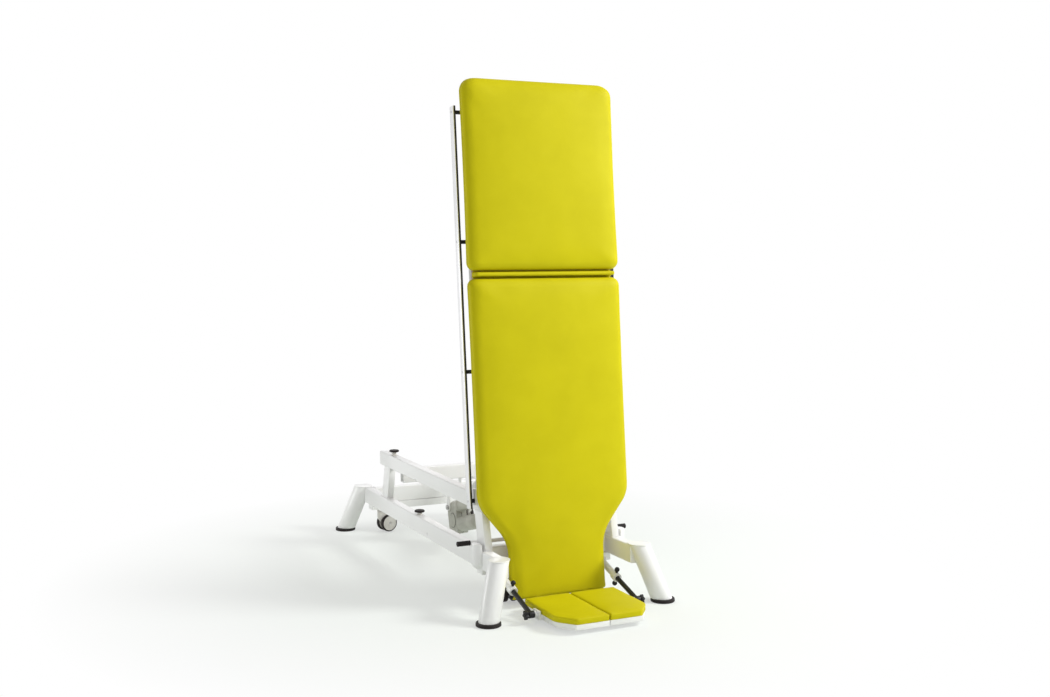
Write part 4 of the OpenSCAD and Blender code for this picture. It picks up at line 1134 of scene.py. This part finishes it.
class TILT_OT_welds(Making, bpy.types.Operator):
    """Weld beads where the tubes of the base and the bed meet"""
    bl_idname = "tilt.welds"
    bl_label = "Weld beads"

    def execute(self, context):
        width = framework().weld
        loops = [box_ring(0, x, y, 175, 40, 70) for x in (-249.6, 249.6) for y in (271, 1530)]
        for x in (-265, 265):
            for y, lean in ((266, -35), (1270, 35)):
                loops.append(box_ring(2, 210.4, x, y + lean, 28, 70, 0.3))
                loops.append(box_ring(2, 349.6, x, y, 28, 70, 0.3))
        loops += [box_ring(2, 294.6, x, 1172, 6, 30, 0.3) for x in (-28, 28)]
        loops += [box_ring(2, 410.3, x, 246, 8, 38, 0.3) for x in (-249, 249)]
        self.beads("base", loops, stand(0, 0, 0), width, width * 0.42, 7)
        loops = [box_ring(0, x, 0, z, 40, 40, 0.2) for z in (65, 761, 1415)
                 for x in (-254.6, 254.6)]
        loops += [box_ring(0, x, -5, -56, 30, 30, 0.2) for x in (-84.6, 84.6)]
        loops += [box_ring(2, 44.6, x, -5, 30, 30, 0.2) for x in (-100, 100)]
        loops += [box_ring(1, 10.2, x, -56, 8, 40, 0.2) for x in (-19, 19)]
        self.beads("bed", loops, bed_matrix(), width * 0.85, width * 0.36, 9)
        return {"FINISHED"}

    def beads(self, body, loops, matrix, width, spacing, seed):
        mesh = grown("path", path_mesh(loops, matrix, closed=True), weld_bit(width),
                     Spacing=spacing, Size_variation=0.18, Seed=seed, Material=finish("white"))
        keep(body + "_weld_beads", mesh, body, None, 60.0)


class TILT_OT_feet(Making, bpy.types.Operator):
    """Rubber foot rings and the four stops"""
    bl_idname = "tilt.feet"
    bl_label = "Feet and stops"

    def execute(self, context):
        outer = rounded_profile(
            [(0.0, 0.0), (38.0, 0.0), (39.5, 1.2), (43.0, 0.0), (45.5, 1.6), (45.4, 6.0),
             (44.2, 7.0), (45.4, 8.0), (44.4, 12.4), (40.5, 13.0), (36.0, 13.0), (0.0, 13.0)],
            1.1, 3)
        rings = [coated(lathe(outer, stand(x, y, 0), 72), "rubber")
                 for x in (-355.5, 355.5) for y in (0.0, 1643.0)]
        keep("foot_rings_moulded", joined(rings), "base", None, node="foot_rings")
        stops = []
        for x, y, z, h in ((268, 1207, 410, 24.8), (270, 895, 210, 20.0)):
            stem = rounded_profile(
                [(0, 0), (12.5, 0), (12.5, 2.2), (10, 3.2), (10, h - 8), (0, h - 8)], 0.8, 3)
            cap = rounded_profile(
                [(0, h - 9), (19.8, h - 9), (21, h - 7.6), (21, h - 2.6), (18.5, h - 0.4), (6, h),
                 (5, h - 1.2), (0, h - 1.2)], 0.9, 3)
            for _, sign in SIDES:
                for profile, name in ((stem, "hub"), (cap, "rubber")):
                    stops.append(coated(lathe(profile, stand(sign * x, y, z), 48), name))
        keep("rubber_stops", joined(stops), "base", None, node="bumpers")
        return {"FINISHED"}


RAIL_FACE = 324.0
RAIL_Y = 13.0
SPACERS = (-64.0, 409.0, 886.0, 1363.0)


class TILT_OT_accessory_rails(Making, bpy.types.Operator):
    """Accessory rails with their spacers and cap screws; the spacers' dark strip along each rail is
    a painted reflection
    """
    bl_idname = "tilt.accessory_rails"
    bl_label = "Accessory rails"

    def execute(self, context):
        for side, _ in SIDES:
            dressed("accessory_rail_" + side, "bed", "aluminium", 0.0011, 3)
        # The spacers are black plastic; their dark strip along each rail's front edge is also a
        # painted reflection of the dark that this edge mirrors.
        dressed("rail_spacers", "bed", "plastic", 0.0007)
        bed = bed_matrix()
        way = bed.to_3x3().normalized()
        collar = rounded_profile([(7.0, -1.2), (8.6, -1.2), (8.6, 1.2), (7.0, 1.2)], 0.4, 2)
        spots, bands = [], []
        for z in SPACERS:
            for _, sign in SIDES:
                spots.append((bed @ Vector((sign * RAIL_FACE, RAIL_Y, z)),
                              way @ Vector((sign, 0, 0))))
                for x in (301.2 if z < 0 else 282.2, 311.8):
                    at = bed @ slide(sign * x, RAIL_Y, z) @ swing(QUARTER, "Y")
                    bands.append(coated(lathe(collar, at, 32, closed=True), "plastic"))
        screws("rail_screws", "bed", spots, 0.0048, 0.0006, 4)
        keep("spacer_collars", joined(bands), "bed", None)
        return {"FINISHED"}


STAY_UP = (220.0, 120.0)
STAY_DOWN = (-50.0, 35.0)
STAY_X = 215.0


class TILT_OT_stays(Making, bpy.types.Operator):
    """Stay tubes, clamp screws, bars and lobed knobs"""
    bl_idname = "tilt.stays"
    bl_label = "Stays"

    def execute(self, context):
        for side, sign in SIDES:
            upper, lower = "stay_upper_" + side, "stay_lower_" + side
            dressed("stay_tube_" + side, upper, "white", 0.0012, 3)
            dressed("stay_bar_" + side, lower, "plastic", 0.0009, 2)
            self.clamp(side, sign, upper)
            self.knob(side, sign, lower)
        return {"FINISHED"}

    def axes(self, sign, along):
        a, b = place(sign * STAY_X, *STAY_UP), place(sign * STAY_X, *STAY_DOWN)
        return aimed(a, b) @ slide(0, 0, along)

    def clamp(self, side, sign, body):
        """Clamp screw through the collar, with a ball knob at both ends."""
        ball = [(9.6 * math.cos(a), 29.2 + 9.6 * math.sin(a))
                for a in (math.radians(-62 + 152 * i / 14) for i in range(14))]
        profile = [(0, 17.3), (5.4, 17.3), (5.4, 19.2), (4.0, 20.0)] + ball + [(0, 38.8)]
        balls = []
        for way in (0.0, math.pi):
            at = self.axes(sign, 120.0) @ swing(way, "Z") @ swing(QUARTER, "X")
            balls.append(coated(lathe(profile, at, 36), "plastic"))
        keep("stay_clamp_" + side + "_knobs", joined(balls), body, None,
             node="stay_clamp_" + side)

    def knob(self, side, sign, body):
        """Five-lobed knob with a raised boss, and its stud in the bar's eye."""
        at = self.axes(sign, 283.064) @ swing(sign * QUARTER, "Y")
        outline = []
        steps, lobes = 120, 5
        for i in range(steps):
            a = 2 * math.pi * i / steps
            r = 14.3 + 2.7 * math.cos(lobes * a)
            outline.append((r * math.cos(a), r * math.sin(a)))
        boss = rounded_profile([(0, 25.8), (7.6, 25.8), (7.0, 27.9), (0, 27.9)], 0.8, 3)
        base = rounded_profile([(0, 10.2), (8.6, 10.2), (9.4, 12.9), (0, 12.9)], 0.6, 3)
        stud = [(0, -10.0), (4.4, -10.0), (4.94, -9.4), (4.94, 11.0), (0, 11.0)]
        parts = [coated(slab(outline, 12.6, 26.2, at, 3.4, 5), "plastic")]
        parts += [coated(lathe(profile, at, steps), name) for profile, steps, name in (
            (boss, 40, "plastic"), (base, 40, "plastic"), (stud, 32, "steel"))]
        keep("stay_knob_" + side + "_lobed", joined(parts), body, None,
             node="stay_knob_" + side)


DRIVE_REAR = (1172.0, 166.0)
GEAR_SIDE = 24.0


def drive_axes():
    return aimed(place(0, *DRIVE_REAR), bed_matrix() @ Vector((0, 112.0, -56.0)))


class TILT_OT_drive(Making, bpy.types.Operator):
    """Tilt drive: housing with its tube, motor, lead, rod and screws"""
    bl_idname = "tilt.drive"
    bl_label = "Tilt drive"

    def execute(self, context):
        axes = drive_axes()
        parts = [coated(rounded_copy("drive_body", 0.0030, 4), "housing")]
        collar = rounded_profile(
            [(25.0, 74), (30.5, 74), (30.5, 86), (28.5, 88), (28.5, 92), (25.0, 94)], 1.2, 3)
        tip = rounded_profile([(14.3, 558), (26.8, 558), (26.8, 569), (24.5, 572), (17, 573.5),
                               (14.3, 573.5)], 1.0, 3)
        for profile in (collar, tip):
            parts.append(coated(lathe(profile, axes, 56, closed=True), "housing"))
        ring = rounded_outline([(-26, -120), (74, -120), (74, 16), (-26, 16)], 14.0, 8)
        seam = [(0.0, y, z) for z, y in ring + ring[:1]]
        parts.append(coated(tube_along(seam, 0.9, axes, 6, False), "plastic"))
        cover = rounded_profile(
            [(0, -1), (34, -1), (34, 1.0), (29.5, 1.0), (29.5, 3.0), (0, 3.0)], 0.6, 3)
        groove = [(31.8 * math.cos(i * math.pi / 20), 31.8 * math.sin(i * math.pi / 20), 1.0)
                  for i in range(41)]
        for _, sign in SIDES:
            at = axes @ slide(sign * GEAR_SIDE, -60, 26) @ swing(sign * QUARTER, "Y")
            parts.append(coated(lathe(cover, at, 56), "housing"))
            parts.append(coated(tube_along(groove, 0.8, at, 6, False), "plastic"))
        keep("drive_housing_moulded", joined(parts), "drive_housing", None, 40,
             "drive_body")
        self.motor(axes)
        self.lead(axes)
        dressed("drive_rod", "drive_piston", "chrome", 0.0012, 3)
        turn = axes.to_3x3().normalized()
        spots = [(axes @ Vector((sign * GEAR_SIDE, y, z)), turn @ Vector((sign, 0, 0)))
                 for _, sign in SIDES
                 for y, z in ((5, -15), (5, 63), (-108, -15), (-108, 63), (-38, 66))]
        screws("drive_screws", "drive_housing", spots, 0.0042, 0.0018, 6)
        return {"FINISHED"}

    def motor(self, axes):
        at = axes @ slide(0, -80, 74)
        profile = rounded_profile(
            [(0, 0), (33, 0), (33, 5), (31.6, 6), (31.6, 8), (33, 9), (33, 108), (31.8, 109.2),
             (31.8, 111), (33, 112), (33, 150), (29, 168), (20, 174.6), (0, 175)], 2.2, 4)
        parts = [coated(lathe(profile, at, 72), "housing")]
        ribs = 18
        for i in range(ribs):
            a = 2 * math.pi * i / ribs
            if abs(math.cos(a)) > 0.55:
                rib = rounded_outline([(30, -1.1), (34.2, -0.9), (34.2, 0.9), (30, 1.1)], 0.6, 2)
                parts.append(coated(slab(rib, 20, 98, at @ swing(a, "Z"), 0.5, 2), "housing"))
        keep("drive_motor_ribbed", joined(parts), "drive_housing", None, 40,
             "drive_motor")

    def lead(self, axes):
        """Short lead that loops out of the gear housing's rear and back in, with its glands."""
        run = []
        for i in range(33):
            a = math.pi * i / 32
            run.append((-12.0, -17 + 17 * math.cos(a), -26 - 17 * math.sin(a)))
        lead = keep("drive_lead", coated(tube_along(run, 3.0, axes, 14), "rubber"),
                    "drive_housing", None, node="motor_cable")
        profile = rounded_profile([(3.0, -1), (6.2, -1), (6.2, 3), (4.6, 7), (3.0, 7)], 0.7, 3)
        glands = []
        for y in (0.0, -34.0):
            at = axes @ slide(-12.0, y, -26.0) @ swing(math.pi, "X")
            glands.append(coated(lathe(profile, at, 28, closed=True), "plastic"))
        glands = keep("drive_lead_glands", joined(glands), "drive_housing", None)


class TILT_OT_foot_bar(Making, bpy.types.Operator):
    """Foot bar with its ribbed grips"""
    bl_idname = "tilt.foot_bar"
    bl_label = "Foot bar"

    def execute(self, context):
        dressed("foot_bar", "foot_lift", "white", 0.0010)
        profile = rounded_profile(
            [(0, 0), (9.4, 0), (9.8, 3), (9.0, 4), (9.0, 46), (9.8, 48), (9.6, 51), (7.0, 52),
             (0, 52)], 0.9, 4)
        shells = []
        for _, sign in SIDES:
            at = stand(sign * 304, 283, 227) @ swing(sign * QUARTER, "Y")
            shells.append(coated(lathe(profile, at, 48), "rubber"))
            bit = lathe([(8.7 * MM, -0.75 * MM), (9.45 * MM, -0.35 * MM), (9.45 * MM, 0.35 * MM),
                         (8.7 * MM, 0.75 * MM)], swing(QUARTER, "Y"), 40, closed=True)
            shells.append(grown("path", path_mesh([[(0, 0, 6.5), (0, 0, 44.0)]], at), bit,
                                Spacing=0.0031, Size_variation=0.0, Seed=1,
                                Material=finish("rubber")))
        keep("foot_bar_grips", joined(shells), "foot_lift", None, 50, "foot_grips")
        return {"FINISHED"}


CASTORS = {"fl": (-166.0, 271.0, 176.0), "fr": (166.0, 271.0, 124.0),
           "rl": (-219.0, 1530.0, -78.0), "rr": (219.0, 1530.0, 18.0)}
AXLE_Y, AXLE_Z = 30.0, 41.0
AXLE = slide(0, AXLE_Y, AXLE_Z)


def hull(outline):
    """The hull of an outline, as an ordered loop."""
    points = sorted({(round(a, 4), round(b, 4)) for a, b in outline})
    loop = []
    for run in (points, points[::-1]):
        half = []
        for p in run:
            while len(half) > 1 and ((half[-1][0] - half[-2][0]) * (p[1] - half[-2][1])
                                     - (half[-1][1] - half[-2][1]) * (p[0] - half[-2][0])) <= 0:
                half.pop()
            half.append(p)
        loop += half[:-1]
    return loop


class TILT_OT_castors(Making, bpy.types.Operator):
    """Four twin castors"""
    bl_idname = "tilt.castors"
    bl_label = "Castors"

    def execute(self, context):
        for key, (x, y, yaw) in CASTORS.items():
            at = stand(x, y, 0) @ swing(math.radians(yaw), "Z")
            self.housing(key, at)
            self.wheels(key, at @ AXLE)
        return {"FINISHED"}

    def housing(self, key, at):
        """Hood between the wheels, stem with its cap, and the axle."""
        outline = []
        for i in range(25):
            a = math.radians(-28 + 196 * i / 24)
            outline.append((AXLE_Y + 34 * math.cos(a), AXLE_Z + 34 * math.sin(a)))
        outline += [(-14.5, 62), (-17, 72), (-17, 104.4), (17, 104.4), (17, 88), (24, 78)]
        side = at @ Matrix(((0, 0, 1, 0), (1, 0, 0, 0), (0, 1, 0, 0), (0, 0, 0, 1)))
        parts = [coated(slab(hull(outline), -7.6, 7.6, side, 1.6, 3), "hub")]
        cap = rounded_profile([(0, 102), (19, 102), (22.8, 104.6), (22.8, 107.5), (18, 109.6),
                               (0, 109.6)], 1.0, 3)
        stem = [(0, 109), (5.9, 109), (5.9, 131), (5.2, 131.6), (0, 131.6)]
        axle = [(0, -27.0), (3.9, -27.0), (4.9, -26.0), (4.9, 26.0), (3.9, 27.0), (0, 27.0)]
        parts += [coated(lathe(cap, at, 48), "hub"), coated(lathe(stem, at, 32), "steel"),
                  coated(lathe(axle, at @ AXLE @ swing(QUARTER, "Y"), 28), "steel")]
        keep("castor_housing_" + key, joined(parts), "castor_" + key, None,
             node="castor_fork_" + key)

    def wheels(self, key, centre):
        tyre = rounded_profile(
            [(33.6, 1.0), (36.0, 0.4), (38.4, 2.2), (39.0, 6.0), (39.0, 14.0), (38.4, 17.8),
             (36.2, 19.6), (34.2, 19.6), (33.6, 18.8)], 1.4, 3)
        hub = rounded_profile(
            [(5.1, 0.6), (12, 0.6), (14, 3.0), (30, 3.0), (33.7, 1.2), (33.7, 18.9), (31.8, 19.4),
             (29.4, 18.2), (27.6, 17.3), (12.6, 18.6), (11.4, 19.4), (10.6, 19.6), (8.4, 19.2),
             (7.4, 18.0), (5.1, 18.0)], 0.8, 3)
        parts = []
        for _, sign in SIDES:
            at = centre @ slide(sign * 9.0, 0, 0) @ swing(sign * QUARTER, "Y")
            for profile, name in ((tyre, "rubber"), (hub, "hub")):
                parts.append(coated(lathe(profile, at, 72, closed=True), name))
        keep("castor_wheels_" + key + "_tyred", joined(parts), "wheels_" + key, None,
             40, "castor_wheels_" + key)


class TILT_PT_panel(bpy.types.Panel):
    bl_idname = "TILT_PT_panel"
    bl_label = "Tilt table"
    bl_space_type = "VIEW_3D"
    bl_region_type = "UI"
    bl_category = "Tilt table"

    def draw(self, context):
        for group in (context.scene.tilt_upholstery, context.scene.tilt_framework,
                      context.scene.tilt_stage):
            box = self.layout.box()
            for key in group.__annotations__:
                box.prop(group, key)
        for operator in OPERATORS:
            self.layout.operator(operator.bl_idname)


OPERATORS = (
    TILT_OT_stage, TILT_OT_frame, TILT_OT_welds, TILT_OT_feet, TILT_OT_accessory_rails,
    TILT_OT_stays, TILT_OT_drive, TILT_OT_foot_bar, TILT_OT_castors, TILT_OT_foot_cushions,
    TILT_OT_bed_cushions,
)
GROUPS = {"tilt_upholstery": UpholsterySettings, "tilt_framework": FrameSettings,
          "tilt_stage": StageSettings}


def register():
    for group in GROUPS.values():
        bpy.utils.register_class(group)
    for key, group in GROUPS.items():
        setattr(bpy.types.Scene, key, bpy.props.PointerProperty(type=group))
    for operator in OPERATORS:
        bpy.utils.register_class(operator)
    bpy.utils.register_class(TILT_PT_panel)


def unregister():
    bpy.utils.unregister_class(TILT_PT_panel)
    for operator in reversed(OPERATORS):
        bpy.utils.unregister_class(operator)
    for key, group in GROUPS.items():
        delattr(bpy.types.Scene, key)
        bpy.utils.unregister_class(group)


def main():
    register()
    for operator in OPERATORS:
        family, name = operator.bl_idname.split(".")
        getattr(getattr(bpy.ops, family), name)()


if __name__ == "__main__":
    main()
